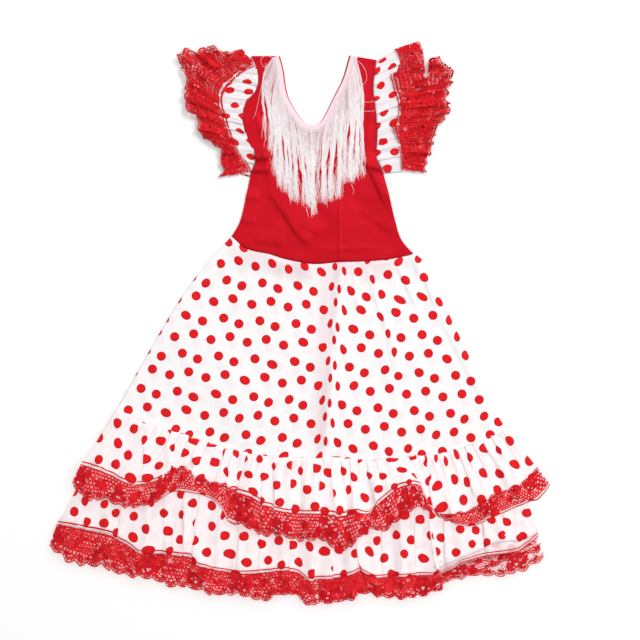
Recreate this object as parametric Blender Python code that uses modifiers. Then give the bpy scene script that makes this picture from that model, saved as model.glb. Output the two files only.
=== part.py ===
"""A child's flamenco dress, laid flat on a surface with its front up.

X runs across the dress, Y towards the shoulders and Z up. The origin is below the middle of the whole
dress, on the surface. From the surface up, the layers are the upper ruffle's back, the skirt's back with
the lower ruffle's, the skirt's front with the lower ruffle's, the upper ruffle's front, and the fringe on
the bodice. Sizes and tables are in millimetres, and each wall is a surface thickened upward.
"""

import math

import bmesh
import bpy
from mathutils import Vector

MM = 0.001
MERGE = 0.0001

# Thickness of each layer, the gaps where two pieces are sewn together, and the air between layers.
WALL = 1.0
SEAM_GAP = 0.3
LACE_GAP = 0.5
LOFT = 1.0
FLOUNCE_LOFT = 1.6
# Where a layer steps over the edge of the one below: length of the slope, and its distance from the edge.
STEP_RUN = 9.0
STEP_MARGIN = 2.0

# Faces across and down each piece.
BODY_COLUMNS = 32
LEFT_COLUMNS = 14
ARM_ROWS = 12
SIDE_ROWS = 6
NECK_ROWS = 7
SKIRT_ROWS = 10
GATHERS = 44
RUFFLE_COLUMNS = 2 * GATHERS
RUFFLE_ROWS = 4
LACE_ROWS = 1
BACK_SIDE_ROWS = 6
SLEEVE_COLUMNS = 24
STRIP_COLUMNS = 2
SLEEVE_LACE_COLUMNS = 3
CURVE_DETAIL = 16
PLACE_ROUNDS = 6

# How far the back lies inside the front's outline, and how far its neckline shows in the opening.
BACK_INSET = 2.0
BACK_LACE_REACH = 0.95
BACK_NECK_PEEK = 1.4

# Heights of the small gathers, and how far down they reach.
GATHER_HEIGHT = 2.2
GATHER_FADE = 1.5
SEAM_WAVE_SHARE = 0.12
LOWER_WAVE_REACH = 0.85
WAIST_GATHER_HEIGHT = 1.6
WAIST_GATHER_REACH = 55.0
SLEEVE_GATHER_HEIGHT = 3.0
SLEEVE_LIFT = 3.0
STRIP_GATHER_SHARE = 0.5
LACE_GATHER_GAIN = 0.8
SLEEVE_END_FADE = 6.0
RIDGE_END_FADE = 4.0
RIDGE_END_SHARE = 0.4
SLOPE_STEP = 1.0

# The fringe: its ribbon, and the locks that its threads make.
BAND_WIDTH = 11.0
BAND_INSET = 1.0
LOCKS = 30
LOCK_WIDTH = 1.9
LOCK_THICKNESS = 0.9
LOCK_SECTIONS = 4
LOCK_ROOT_SHARE = 0.15
LOCK_TAPER = 0.6
HANG_SHARPNESS = 5
BAND_TURN_SHARPNESS = 6
TIP_UNEVENNESS = 5.0
TIP_RHYTHM = 2.3
FLAT_NORMAL = 0.5

# Bodice outline: x, y.
SHOULDER_LEFT = [(-75, 413), (-32, 413)]
ARM_LEFT = [
    (-75, 413),
    (-67, 396),
    (-64, 376),
    (-69, 358),
    (-84, 340),
    (-88, 312),
    (-80, 283),
    (-68, 256),
    (-77, 225),
]
SIDE_LEFT = [(-77, 225), (-83, 196), (-92, 158), (-106, 133)]
NECK_LEFT = [(-32, 413), (-26, 391), (-20, 355), (-7, 329), (7, 310), (17.4, 305)]
SHOULDER_RIGHT = [(78, 414), (119, 407)]
ARM_RIGHT = [(119, 407), (115, 380), (114, 358), (118, 325), (120, 290), (119, 255), (129, 233)]
SIDE_RIGHT = [(129, 233), (139, 196), (148, 158), (158, 128), (176, 107)]
NECK_RIGHT = [(78, 414), (75, 403), (67, 377), (53, 349), (40, 323), (30, 308), (17.4, 305)]

# Waist seam: x, y.
WAIST = [
    (-106, 133),
    (-83, 114),
    (-46, 105),
    (-24, 98),
    (0, 93),
    (24, 90),
    (61, 93),
    (95, 94),
    (135, 97),
    (171, 104),
    (176, 107),
]

# Skirt side seams down to the seam under the upper ruffle: x, y.
SKIRT_LEFT = [(-106, 133), (-148, 87), (-184, 38), (-221, -23), (-251, -76), (-283, -133), (-293, -152)]
SKIRT_RIGHT = [
    (176, 107),
    (193, 93),
    (213, 53),
    (238, -1),
    (270, -68),
    (293, -122),
    (321, -167),
    (327, -186),
]

# Gathered seam of the upper ruffle: x, y.
GATHER_SEAM = [
    (-283, -133),
    (-235, -158),
    (-190, -170),
    (-153, -184),
    (-79, -203),
    (-13, -210),
    (58, -209),
    (103, -214),
    (169, -208),
    (216, -204),
    (267, -189),
    (307, -173),
    (321, -167),
]
HIDDEN_SEAM_DROP = 19.0

# Upper ruffle, a row for each crest and each hollow: x and y of the hem, drop of its lace, height.
UPPER_FOLDS = [
    (-337, -215, 36, 2),
    (-316, -220, 51, 8),
    (-294, -229, 43, 3),
    (-268, -243, 43, 9),
    (-243, -246, 37, 3),
    (-218, -238, 40, 8),
    (-196, -226, 37, 3),
    (-170, -228, 34, 9),
    (-148, -241, 27, 3),
    (-127, -249, 30, 8),
    (-105, -254, 54, 2),
    (-80, -262, 57, 10),
    (-52, -276, 51, 3),
    (-27, -286, 45, 11),
    (-4, -290, 46, 4),
    (19, -290, 43, 12),
    (44, -290, 54, 5),
    (58, -293, 56, 13),
    (70, -291, 57, 4),
    (89, -288, 50, 10),
    (107, -291, 30, 4),
    (128, -269, 50, 9),
    (152, -248, 54, 13),
    (176, -246, 40, 15),
    (193, -269, 23, 8),
    (219, -293, 10, 3),
    (241, -294, 19, 10),
    (264, -290, 24, 4),
    (289, -270, 31, 9),
    (315, -263, 27, 4),
    (340, -249, 28, 9),
    (354, -237, 36, 4),
    (369, -223, 28, 2),
]
UPPER_LACE_FLARE = (17, 19)

# Lower ruffle, with the same columns.
LOWER_FOLDS = [
    (-375, -308, 42, 2),
    (-350, -311, 53, 8),
    (-325, -316, 59, 3),
    (-297, -322, 59, 9),
    (-274, -332, 53, 2),
    (-248, -352, 43, 8),
    (-217, -353, 48, 3),
    (-186, -356, 51, 9),
    (-164, -359, 54, 3),
    (-151, -373, 45, 10),
    (-120, -381, 39, 4),
    (-88, -384, 40, 9),
    (-55, -383, 45, 3),
    (-27, -379, 42, 9),
    (-4, -381, 43, 3),
    (13, -395, 40, 10),
    (31, -393, 42, 4),
    (45, -392, 43, 9),
    (59, -392, 42, 2),
    (81, -384, 42, 9),
    (103, -378, 37, 5),
    (115, -390, 36, 9),
    (137, -390, 36, 3),
    (163, -389, 36, 9),
    (194, -387, 37, 4),
    (213, -387, 25, 10),
    (227, -382, 19, 3),
    (252, -367, 29, 9),
    (283, -358, 33, 4),
    (314, -353, 37, 8),
    (341, -348, 37, 3),
    (369, -326, 34, 2),
]
LOWER_LACE_FLARE = (15, 10)

# Lines across the back, under the ones in front: x, y.
BACK_GATHER_SEAM = [
    (-281, -136),
    (-190, -174),
    (-79, -206),
    (18, -214),
    (131, -216),
    (241, -201),
    (319, -169),
]
BACK_UPPER_HEM = [
    (-334, -217),
    (-230, -245),
    (-100, -270),
    (30, -284),
    (150, -274),
    (260, -262),
    (365, -224),
]
BACK_UPPER_LACE = [
    (-349, -250),
    (-240, -281),
    (-105, -309),
    (30, -322),
    (150, -312),
    (265, -292),
    (350, -262),
]
BACK_LOWER_HEM = [
    (-371, -305),
    (-250, -342),
    (-110, -374),
    (30, -386),
    (170, -379),
    (270, -358),
    (365, -325),
]
BACK_LOWER_LACE = [
    (-386, -346),
    (-250, -384),
    (-110, -414),
    (30, -428),
    (150, -420),
    (260, -396),
    (375, -356),
]

# Soft ridges in the cloth: from x, y to x, y, height, half width.
BODICE_RIDGES = [
    (-70, 253, -45, 236, 3.0, 11),
    (-45, 182, -4, 128, 3.5, 16),
    (0, 140, 30, 126, 2.5, 13),
    (-72, 126, -43, 120, 2.0, 9),
    (62, 160, 62, 100, 2.0, 12),
    (118, 226, 138, 188, 4.0, 11),
]
SKIRT_RIDGES = [
    (186, 76, 286, -128, 4.5, 15),
    (55, 73, 59, -196, 5.0, 18),
    (106, 80, 148, -66, 3.0, 17),
    (-60, 92, -105, 10, 2.0, 18),
]

# Outer edges of the sleeves, from the shoulder down: x, y.
STRIP_LEFT = [
    (-81, 409),
    (-102, 381),
    (-116, 366),
    (-124, 352),
    (-126, 337),
    (-113, 303),
    (-97, 263),
    (-86, 229),
]
LACE_LEFT = [
    (-91, 427),
    (-112, 419),
    (-130, 424),
    (-150, 425),
    (-184, 418),
    (-180, 386),
    (-180, 366),
    (-171, 330),
    (-159, 317),
    (-162, 303),
    (-150, 287),
    (-122, 269),
    (-127, 251),
    (-120, 239),
    (-124, 225),
]
STRIP_RIGHT = [
    (147, 424),
    (152, 406),
    (144, 388),
    (144, 374),
    (151, 342),
    (147, 307),
    (151, 275),
    (157, 255),
    (157, 236),
]
LACE_RIGHT = [
    (188, 437),
    (193, 423),
    (205, 410),
    (221, 407),
    (235, 396),
    (233, 380),
    (236, 364),
    (231, 334),
    (220, 307),
    (205, 281),
    (204, 261),
    (195, 232),
]

# Tips of the fringe's locks, from each shoulder to the V: x, y.
TIPS_LEFT = [(-46, 287), (-36, 252), (-28, 217), (-15, 190), (-3, 184), (8, 180), (14, 173), (19, 170)]
TIPS_RIGHT = [
    (100, 231),
    (93, 230),
    (87, 225),
    (81, 211),
    (69, 200),
    (59, 193),
    (46, 180),
    (36, 189),
    (22, 170),
]
# The outermost lock's column beside the shoulder, and the innermost one's at the V.
COLUMNS_LEFT = (-58, 17)
COLUMNS_RIGHT = (100, 19)

RED_SATIN = ("red_satin", (0.62, 0.012, 0.022), 0.42)
DOTTED_WHITE = ("dotted_white_cloth", (0.90, 0.86, 0.87), 0.75)
RED_LACE = ("red_lace", (0.55, 0.012, 0.025), 0.70)
WHITE_THREAD = ("white_thread", (0.88, 0.80, 0.81), 0.60)


def clamp(value):
    """The value held between 0 and 1."""
    return min(max(value, 0.0), 1.0)


def ease(value):
    """A smooth step from 0 to 1."""
    u = clamp(value)
    return u * u * (3 - 2 * u)


def row_before(rows, place):
    """Number of the last row that starts a stretch at or before a place in the first column."""
    k = 0
    while k < len(rows) - 2 and rows[k + 1][0] <= place:
        k += 1
    return k


def eased_column(rows, column, place):
    """A column at a place in the first one, level at each row, as waves are."""
    k = row_before(rows, place)
    share = (place - rows[k][0]) / (rows[k + 1][0] - rows[k][0])
    return rows[k][column] + (rows[k + 1][column] - rows[k][column]) * ease(share)


def curved_column(rows, column, place):
    """A column at a place in the first one, on a smooth curve through the rows."""
    k = row_before(rows, place)
    run = rows[k + 1][0] - rows[k][0]
    u = clamp((place - rows[k][0]) / run)

    def slope(row):
        before = rows[max(row - 1, 0)]
        after = rows[min(row + 1, len(rows) - 1)]
        return (after[column] - before[column]) / (after[0] - before[0])

    here, there = rows[k][column], rows[k + 1][column]
    bend = u * (1 - u) * run * ((1 - u) * slope(k) - u * slope(k + 1))
    return here + (there - here) * ease(u) + bend


def across(rows, share):
    """Point of a line that runs from left to right, at a share of its width."""
    x = rows[0][0] + (rows[-1][0] - rows[0][0]) * share
    return Vector((x, curved_column(rows, 1, x)))


def rounded(points, steps):
    """A smooth path through points, at equal lengths, as steps + 1 points."""
    fine = []
    spans = len(points) - 1
    for k in range(spans):
        a, b, c, d = (Vector(points[min(max(k + i, 0), spans)]) for i in (-1, 0, 1, 2))
        for i in range(CURVE_DETAIL):
            u = i / CURVE_DETAIL
            bend = (c - a) * u + (2 * a - 5 * b + 4 * c - d) * u * u + (3 * b - a - 3 * c + d) * u**3
            fine.append(b + bend / 2)
    fine.append(Vector(points[-1]))
    return evenly(fine, steps)


def evenly(points, steps):
    """Points at equal lengths along straight stretches, ends included."""
    places = [Vector(p) for p in points]
    lengths = [0.0]
    for a, b in zip(places, places[1:]):
        lengths.append(lengths[-1] + (b - a).length)
    result = []
    k = 0
    for i in range(steps + 1):
        want = lengths[-1] * i / steps
        while k < len(places) - 2 and lengths[k + 1] < want:
            k += 1
        share = (want - lengths[k]) / max(lengths[k + 1] - lengths[k], 1e-9)
        result.append(places[k].lerp(places[k + 1], clamp(share)))
    return result


def patch(top, bottom, left, right):
    """Rows of points that fill four borders, each given from left to right or from top to bottom."""
    rows = []
    for j, (west, east) in enumerate(zip(left, right)):
        v = j / (len(left) - 1)
        row = []
        for i, (north, south) in enumerate(zip(top, bottom)):
            u = i / (len(top) - 1)
            ruled = north.lerp(south, v) + west.lerp(east, u)
            row.append(ruled - top[0].lerp(top[-1], u).lerp(bottom[0].lerp(bottom[-1], u), v))
        rows.append(row)
    return rows


def ruled(first, last, steps):
    """Rows of points from one line to another with as many points."""
    return [[a.lerp(b, j / steps) for a, b in zip(first, last)] for j in range(steps + 1)]


def ridge(x, y, rows):
    """Height of the soft ridges of a table at a place."""
    height = 0.0
    place = Vector((x, y))
    for x0, y0, x1, y1, tall, half_width in rows:
        start = Vector((x0, y0))
        run = Vector((x1, y1)) - start
        share = (place - start).dot(run) / run.length_squared
        off = (place - start - run * clamp(share)).length / half_width
        if off < 1:
            ends = ease(min(share, 1 - share) * RIDGE_END_FADE + RIDGE_END_SHARE)
            height += tall * ends * (0.5 + 0.5 * math.cos(math.pi * off))
    return height


def zigzag(share, count):
    """A fold line that rises and falls count times."""
    return abs((share * count) % 1.0 * 2 - 1)


def back_base(x, y):
    """Bottom of the skirt's back, which steps over the upper ruffle's back."""
    above_seam = curved_column(BACK_GATHER_SEAM, 1, x) + STEP_MARGIN + STEP_RUN - y
    above_lace = y - curved_column(BACK_UPPER_LACE, 1, x) + STEP_MARGIN + STEP_RUN
    lifted = clamp(above_seam / STEP_RUN) * clamp(above_lace / STEP_RUN)
    return (WALL + SEAM_GAP) * lifted


def lower_place(x, y):
    """Share across and share down of a place on the lower ruffle's front."""
    top = HIDDEN_SEAM
    hem = LOWER_FOLDS
    down = 0.5
    side = 0.5
    for _ in range(PLACE_ROUNDS):
        left = top[0][0] + (hem[0][0] - top[0][0]) * down
        right = top[-1][0] + (hem[-1][0] - top[-1][0]) * down
        side = clamp((x - left) / (right - left))
        upper = across(top, side).y
        lower = across(hem, side).y
        down = max((upper - y) / (upper - lower), 0.0)
    return side, down


def lower_wave(x, y):
    """Height of the lower ruffle's waves, which grow to its hem."""
    side, down = lower_place(x, y)
    hem_x = LOWER_FOLDS[0][0] + (LOWER_FOLDS[-1][0] - LOWER_FOLDS[0][0]) * side
    return eased_column(LOWER_FOLDS, 3, hem_x) * ease(min(down, 1.0) * LOWER_WAVE_REACH)


def front_base(x, y):
    """Bottom of the skirt's front and of the lower ruffle's."""
    side = clamp((x - WAIST[0][0]) / (WAIST[-1][0] - WAIST[0][0]))
    below_waist = (across(WAIST, side).y - y) / WAIST_GATHER_REACH
    puckers = WAIST_GATHER_HEIGHT * (1 - ease(below_waist)) * zigzag(side, BODY_COLUMNS / 2)
    return back_base(x, y) + WALL + LOFT + ridge(x, y, SKIRT_RIDGES) + puckers + lower_wave(x, y)


def bodice_base(x, y):
    """Bottom of the bodice's front."""
    return WALL + LOFT + ridge(x, y, BODICE_RIDGES)


def steepness(base, x, y):
    """How much thicker a wall on a slope is, measured straight up."""
    along_x = (base(x + SLOPE_STEP, y) - base(x - SLOPE_STEP, y)) / (2 * SLOPE_STEP)
    along_y = (base(x, y + SLOPE_STEP) - base(x, y - SLOPE_STEP)) / (2 * SLOPE_STEP)
    return math.sqrt(1 + along_x**2 + along_y**2)


def flounce_base(x, y, side, down):
    """Bottom of the upper ruffle's front, which lies on the cloth below and waves above it."""
    under = front_base(x, y) + WALL * steepness(front_base, x, y) + FLOUNCE_LOFT
    hem_x = UPPER_FOLDS[0][0] + (UPPER_FOLDS[-1][0] - UPPER_FOLDS[0][0]) * side
    grown = SEAM_WAVE_SHARE + (1 - SEAM_WAVE_SHARE) * min(down, 1.0)
    wave = eased_column(UPPER_FOLDS, 3, hem_x) * ease(grown)
    return under + wave + GATHER_HEIGHT * zigzag(side, GATHERS) * (1 - ease(down * GATHER_FADE))


def shifted(rows, dx, dy):
    """A table of places, moved."""
    return [(row[0] + dx, row[1] + dy) for row in rows]


def lace_edge(folds, flare):
    """Points of a lace's outer edge, below its ruffle's hem and wider than it by flare at each end."""
    points = []
    for i in range(RUFFLE_COLUMNS + 1):
        share = i / RUFFLE_COLUMNS
        hem = across(folds, share)
        drop = curved_column(folds, 2, hem.x)
        outward = 2 * share - 1
        spread = flare[1] if outward > 0 else flare[0]
        points.append(Vector((hem.x + spread * outward**3, hem.y - drop)))
    return points


def moved_down(points, gap):
    """A line from left to right, moved down at right angles to itself."""
    result = []
    for i, place in enumerate(points):
        run = points[min(i + 1, len(points) - 1)] - points[max(i - 1, 0)]
        result.append(place + Vector((run.y, -run.x)).normalized() * gap)
    return result


def on_chords(points, columns):
    """Points at equal steps along the straight stretches between points."""
    result = []
    for i in range(columns + 1):
        place = i * (len(points) - 1) / columns
        k = min(int(place), len(points) - 2)
        result.append(points[k].lerp(points[k + 1], place - k))
    return result


def line(rows, columns, drop=0.0):
    """Points across a line from its left end to its right end."""
    return [across(rows, i / columns) - Vector((0, drop)) for i in range(columns + 1)]


HIDDEN_SEAM = [SKIRT_LEFT[-1]] + shifted(GATHER_SEAM[1:-1], 0, -HIDDEN_SEAM_DROP) + [SKIRT_RIGHT[-1]]


def finish(name):
    """A Principled material of a named cloth, made once."""
    label, colour, roughness = name
    made = bpy.data.materials.get(label)
    if made is None:
        made = bpy.data.materials.new(label)
        made.use_nodes = True
        shader = made.node_tree.nodes["Principled BSDF"]
        shader.inputs["Base Color"].default_value = (*colour, 1)
        shader.inputs["Roughness"].default_value = roughness
        shader.inputs["Metallic"].default_value = 0
    return made


def link(name, mesh, cloth):
    """The object of a finished mesh, in the dress's collection."""
    piece = bpy.data.objects.new(name, mesh)
    mesh.materials.append(finish(cloth))
    bpy.data.collections["flamenco_dress"].objects.link(piece)
    return piece


def wall(name, rows, base, cloth):
    """A wall of cloth: a grid through rows of places, set at base(x, y, side, down) and thickened upward."""
    down_steps, side_steps = len(rows) - 1, len(rows[0]) - 1
    form = bmesh.new()
    bmesh.ops.create_grid(form, x_segments=side_steps, y_segments=down_steps, size=1)
    for vertex in form.verts:
        side = (vertex.co.x + 1) / 2
        down = (1 - vertex.co.y) / 2
        place = rows[round(down * down_steps)][round(side * side_steps)]
        vertex.co = Vector((place.x, place.y, base(place.x, place.y, side, down))) * MM
    mesh = bpy.data.meshes.new(name)
    form.to_mesh(mesh)
    form.free()
    mesh.shade_smooth()
    piece = link(name, mesh, cloth)
    thick = piece.modifiers.new("cloth", "SOLIDIFY")
    thick.thickness = WALL * MM
    thick.offset = 1.0
    thick.use_even_offset = True
    return piece


def flat_panel(name, outline, cloth):
    """A flat panel on the surface below, from its outline."""
    curve = bpy.data.curves.new(name, "CURVE")
    curve.dimensions = "2D"
    curve.fill_mode = "BOTH"
    curve.extrude = WALL / 2 * MM
    spline = curve.splines.new("POLY")
    spline.points.add(len(outline) - 1)
    for point, place in zip(spline.points, outline):
        point.co = (place.x * MM, place.y * MM, 0, 1)
    spline.use_cyclic_u = True
    panel = bpy.data.objects.new(name, curve)
    panel.location.z = WALL / 2 * MM
    curve.materials.append(finish(cloth))
    bpy.data.collections["flamenco_dress"].objects.link(panel)
    weld = panel.modifiers.new("caps", "WELD")
    weld.merge_threshold = MERGE
    return panel


def ring(first, last):
    """An outline down one line and back up another."""
    return list(first) + list(reversed(last))


def bodice_half(side, shoulder, arm, seam, neck, columns):
    """Rows of places of the bodice's left (side 0) or right (side 1) half, from shoulder to waist."""
    flank = rounded(arm, ARM_ROWS) + rounded(seam, SIDE_ROWS)[1:]
    centre_top = Vector(neck[-1])
    waist = line(WAIST, BODY_COLUMNS)
    part = waist[: LEFT_COLUMNS + 1] if side == 0 else waist[LEFT_COLUMNS:]
    part = [p + Vector((0, SEAM_GAP)) for p in part]
    centre_bottom = waist[LEFT_COLUMNS] + Vector((0, SEAM_GAP))
    centre = evenly([centre_top, centre_bottom], ARM_ROWS + SIDE_ROWS - NECK_ROWS)
    middle = rounded(neck, NECK_ROWS) + centre[1:]
    flank[-1] = part[0] if side == 0 else part[-1]
    left, right = (flank, middle) if side == 0 else (middle, flank)
    return patch(evenly(shoulder, columns), part, left, right)


def bodice_rows(peek):
    """Rows of places of both halves of the bodice, with the neckline moved into the opening by peek."""
    neck_left = shifted(NECK_LEFT[:-1], peek, 0) + shifted(NECK_LEFT[-1:], 0, peek)
    neck_right = shifted(NECK_RIGHT[:-1], -peek, 0) + shifted(NECK_RIGHT[-1:], 0, peek)
    shoulder_left = [SHOULDER_LEFT[0], neck_left[0]]
    shoulder_right = [neck_right[0], SHOULDER_RIGHT[1]]
    return (
        bodice_half(0, shoulder_left, ARM_LEFT, SIDE_LEFT, neck_left, LEFT_COLUMNS),
        bodice_half(1, shoulder_right, ARM_RIGHT, SIDE_RIGHT, neck_right, BODY_COLUMNS - LEFT_COLUMNS),
    )


def bodice_front():
    """The front of the bodice: two halves joined below the V, thickened."""
    form = bmesh.new()
    for rows in bodice_rows(0.0):
        down_steps, side_steps = len(rows) - 1, len(rows[0]) - 1
        made = bmesh.ops.create_grid(form, x_segments=side_steps, y_segments=down_steps, size=1)
        for vertex in made["verts"]:
            side = (vertex.co.x + 1) / 2
            down = (1 - vertex.co.y) / 2
            place = rows[round(down * down_steps)][round(side * side_steps)]
            vertex.co = Vector((place.x, place.y, bodice_base(place.x, place.y))) * MM
    bmesh.ops.remove_doubles(form, verts=form.verts, dist=MERGE)
    mesh = bpy.data.meshes.new("bodice_front")
    form.to_mesh(mesh)
    form.free()
    mesh.shade_smooth()
    piece = link("bodice_front", mesh, RED_SATIN)
    thick = piece.modifiers.new("cloth", "SOLIDIFY")
    thick.thickness = WALL * MM
    thick.offset = 1.0
    thick.use_even_offset = True


def bodice_back():
    """The back of the bodice, flat, with its neckline just inside the front's."""
    left, right = bodice_rows(BACK_NECK_PEEK)
    outline = [row[0] for row in left] + left[-1][1:] + right[-1][1:]
    outline += [row[-1] for row in reversed(right[:-1])] + list(reversed(right[0][:-1]))
    outline += [row[0] for row in right[1 : NECK_ROWS + 1]]
    outline += [row[-1] for row in reversed(left[:NECK_ROWS])] + list(reversed(left[0][1:-1]))
    flat_panel("bodice_back", outline, RED_SATIN)


def sleeve(side, arm, strip, lace, mirror):
    """A sleeve's dotted strip and its lace, folded flat at the shoulder, so each has a front and a back."""
    armhole = evenly(rounded(arm, ARM_ROWS), SLEEVE_COLUMNS)
    out = Vector((1, 0)) * (1 if mirror else -1)
    inner = [p + out * 2 * SEAM_GAP for p in armhole]
    outer = rounded(strip, SLEEVE_COLUMNS)
    lace_start = moved_down(outer, -LACE_GAP if mirror else LACE_GAP)
    lace_outer = rounded(lace, SLEEVE_COLUMNS)

    def pleats(down):
        ends = ease(SLEEVE_END_FADE * min(down, 1 - down))
        return SLEEVE_GATHER_HEIGHT * zigzag(down, SLEEVE_COLUMNS / 2) * ends

    def gathered(x, y, across_share, down):
        return WALL + LOFT + STRIP_GATHER_SHARE * pleats(down)

    def ruffled(x, y, across_share, down):
        far = across_share if mirror else 1 - across_share
        gathers = (STRIP_GATHER_SHARE + LACE_GATHER_GAIN * far) * pleats(down)
        return WALL + LOFT + gathers + SLEEVE_LIFT * 4 * far * (1 - far)

    def rows(first, last, steps):
        columns = [(a, b) if mirror else (b, a) for a, b in zip(first, last)]
        return [[a.lerp(b, i / steps) for i in range(steps + 1)] for a, b in columns]

    wall(f"sleeve_{side}_front", rows(inner, outer, STRIP_COLUMNS), gathered, DOTTED_WHITE)
    lace_rows = rows(lace_start, lace_outer, SLEEVE_LACE_COLUMNS)
    wall(f"sleeve_lace_{side}_front", lace_rows, ruffled, RED_LACE)
    flat_panel(f"sleeve_{side}_back", ring(inner, outer), DOTTED_WHITE)
    hidden = [a.lerp(b, BACK_LACE_REACH) for a, b in zip(lace_start, lace_outer)]
    flat_panel(f"sleeve_lace_{side}_back", ring(lace_start, hidden), RED_LACE)


def skirt():
    """The skirt's front and back."""
    waist = line(WAIST, BODY_COLUMNS)
    seam = line(HIDDEN_SEAM, BODY_COLUMNS)
    left = rounded(SKIRT_LEFT, SKIRT_ROWS)
    right = rounded(SKIRT_RIGHT, SKIRT_ROWS)
    rows = patch(waist, seam, left, right)
    wall("skirt_front", rows, lambda x, y, side, down: front_base(x, y), DOTTED_WHITE)

    bottom = line(BACK_GATHER_SEAM, BODY_COLUMNS)
    above = [p + Vector((0, STEP_MARGIN + STEP_RUN)) for p in bottom]
    raised = [p + Vector((0, STEP_MARGIN)) for p in bottom]
    low = [p - Vector((0, HIDDEN_SEAM_DROP)) for p in bottom]
    west = [tuple(waist[0])] + shifted(SKIRT_LEFT[1:5], BACK_INSET, 0) + [tuple(above[0])]
    east = [tuple(waist[-1])] + shifted(SKIRT_RIGHT[1:6], -BACK_INSET, 0) + [tuple(above[-1])]
    edges = rounded(west, BACK_SIDE_ROWS), rounded(east, BACK_SIDE_ROWS)
    rows = patch(waist, above, *edges) + [raised, low]
    wall("skirt_back", rows, lambda x, y, side, down: back_base(x, y), DOTTED_WHITE)


def upper_ruffle():
    """The upper ruffle and its lace, in front and behind."""
    seam = line(GATHER_SEAM, RUFFLE_COLUMNS)
    hem = line(UPPER_FOLDS, RUFFLE_COLUMNS)
    edge = lace_edge(UPPER_FOLDS, UPPER_LACE_FLARE)
    wall("upper_ruffle_front", ruled(seam, hem, RUFFLE_ROWS), flounce_base, DOTTED_WHITE)
    wall(
        "upper_lace_front",
        ruled(moved_down(hem, LACE_GAP), edge, LACE_ROWS),
        lambda x, y, side, down: flounce_base(x, y, side, 1.0),
        RED_LACE,
    )

    seam = line(BACK_GATHER_SEAM, BODY_COLUMNS)
    hem = line(BACK_UPPER_HEM, BODY_COLUMNS)
    edge = line(BACK_UPPER_LACE, BODY_COLUMNS)
    flat_panel("upper_ruffle_back", ring(seam, hem), DOTTED_WHITE)
    flat_panel("upper_lace_back", ring(moved_down(hem, SEAM_GAP), edge), RED_LACE)


def lower_ruffle():
    """The lower ruffle and its lace, in front and behind."""
    seam = moved_down(on_chords(line(HIDDEN_SEAM, BODY_COLUMNS), RUFFLE_COLUMNS), LACE_GAP)
    hem = line(LOWER_FOLDS, RUFFLE_COLUMNS)
    edge = lace_edge(LOWER_FOLDS, LOWER_LACE_FLARE)
    rows = ruled(seam, hem, RUFFLE_ROWS)
    wall("lower_ruffle_front", rows, lambda x, y, side, down: front_base(x, y), DOTTED_WHITE)
    rows = ruled(moved_down(hem, LACE_GAP), edge, LACE_ROWS)
    wall("lower_lace_front", rows, lambda x, y, side, down: front_base(x, y), RED_LACE)

    seam = line(BACK_GATHER_SEAM, BODY_COLUMNS, HIDDEN_SEAM_DROP + LACE_GAP)
    raised = line(BACK_UPPER_LACE, BODY_COLUMNS, STEP_MARGIN)
    lowered = line(BACK_UPPER_LACE, BODY_COLUMNS, STEP_MARGIN + STEP_RUN)
    hem = line(BACK_LOWER_HEM, BODY_COLUMNS)
    edge = line(BACK_LOWER_LACE, BODY_COLUMNS)
    rows = [seam, raised, lowered, hem]
    wall("lower_ruffle_back", rows, lambda x, y, side, down: back_base(x, y), DOTTED_WHITE)
    flat_panel("lower_lace_back", ring(moved_down(hem, LACE_GAP), edge), RED_LACE)


def lock_section(corners, roles, centre, heading, width, thickness):
    """Sets the four corners of a lock's section round its centre."""
    across_lock = Vector((heading.y, -heading.x, 0)).normalized()
    for corner, (lateral, vertical) in zip(corners, roles):
        spot = centre + across_lock * lateral * width / 2 + Vector((0, 0, vertical * thickness / 2))
        corner.co = spot * MM


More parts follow.
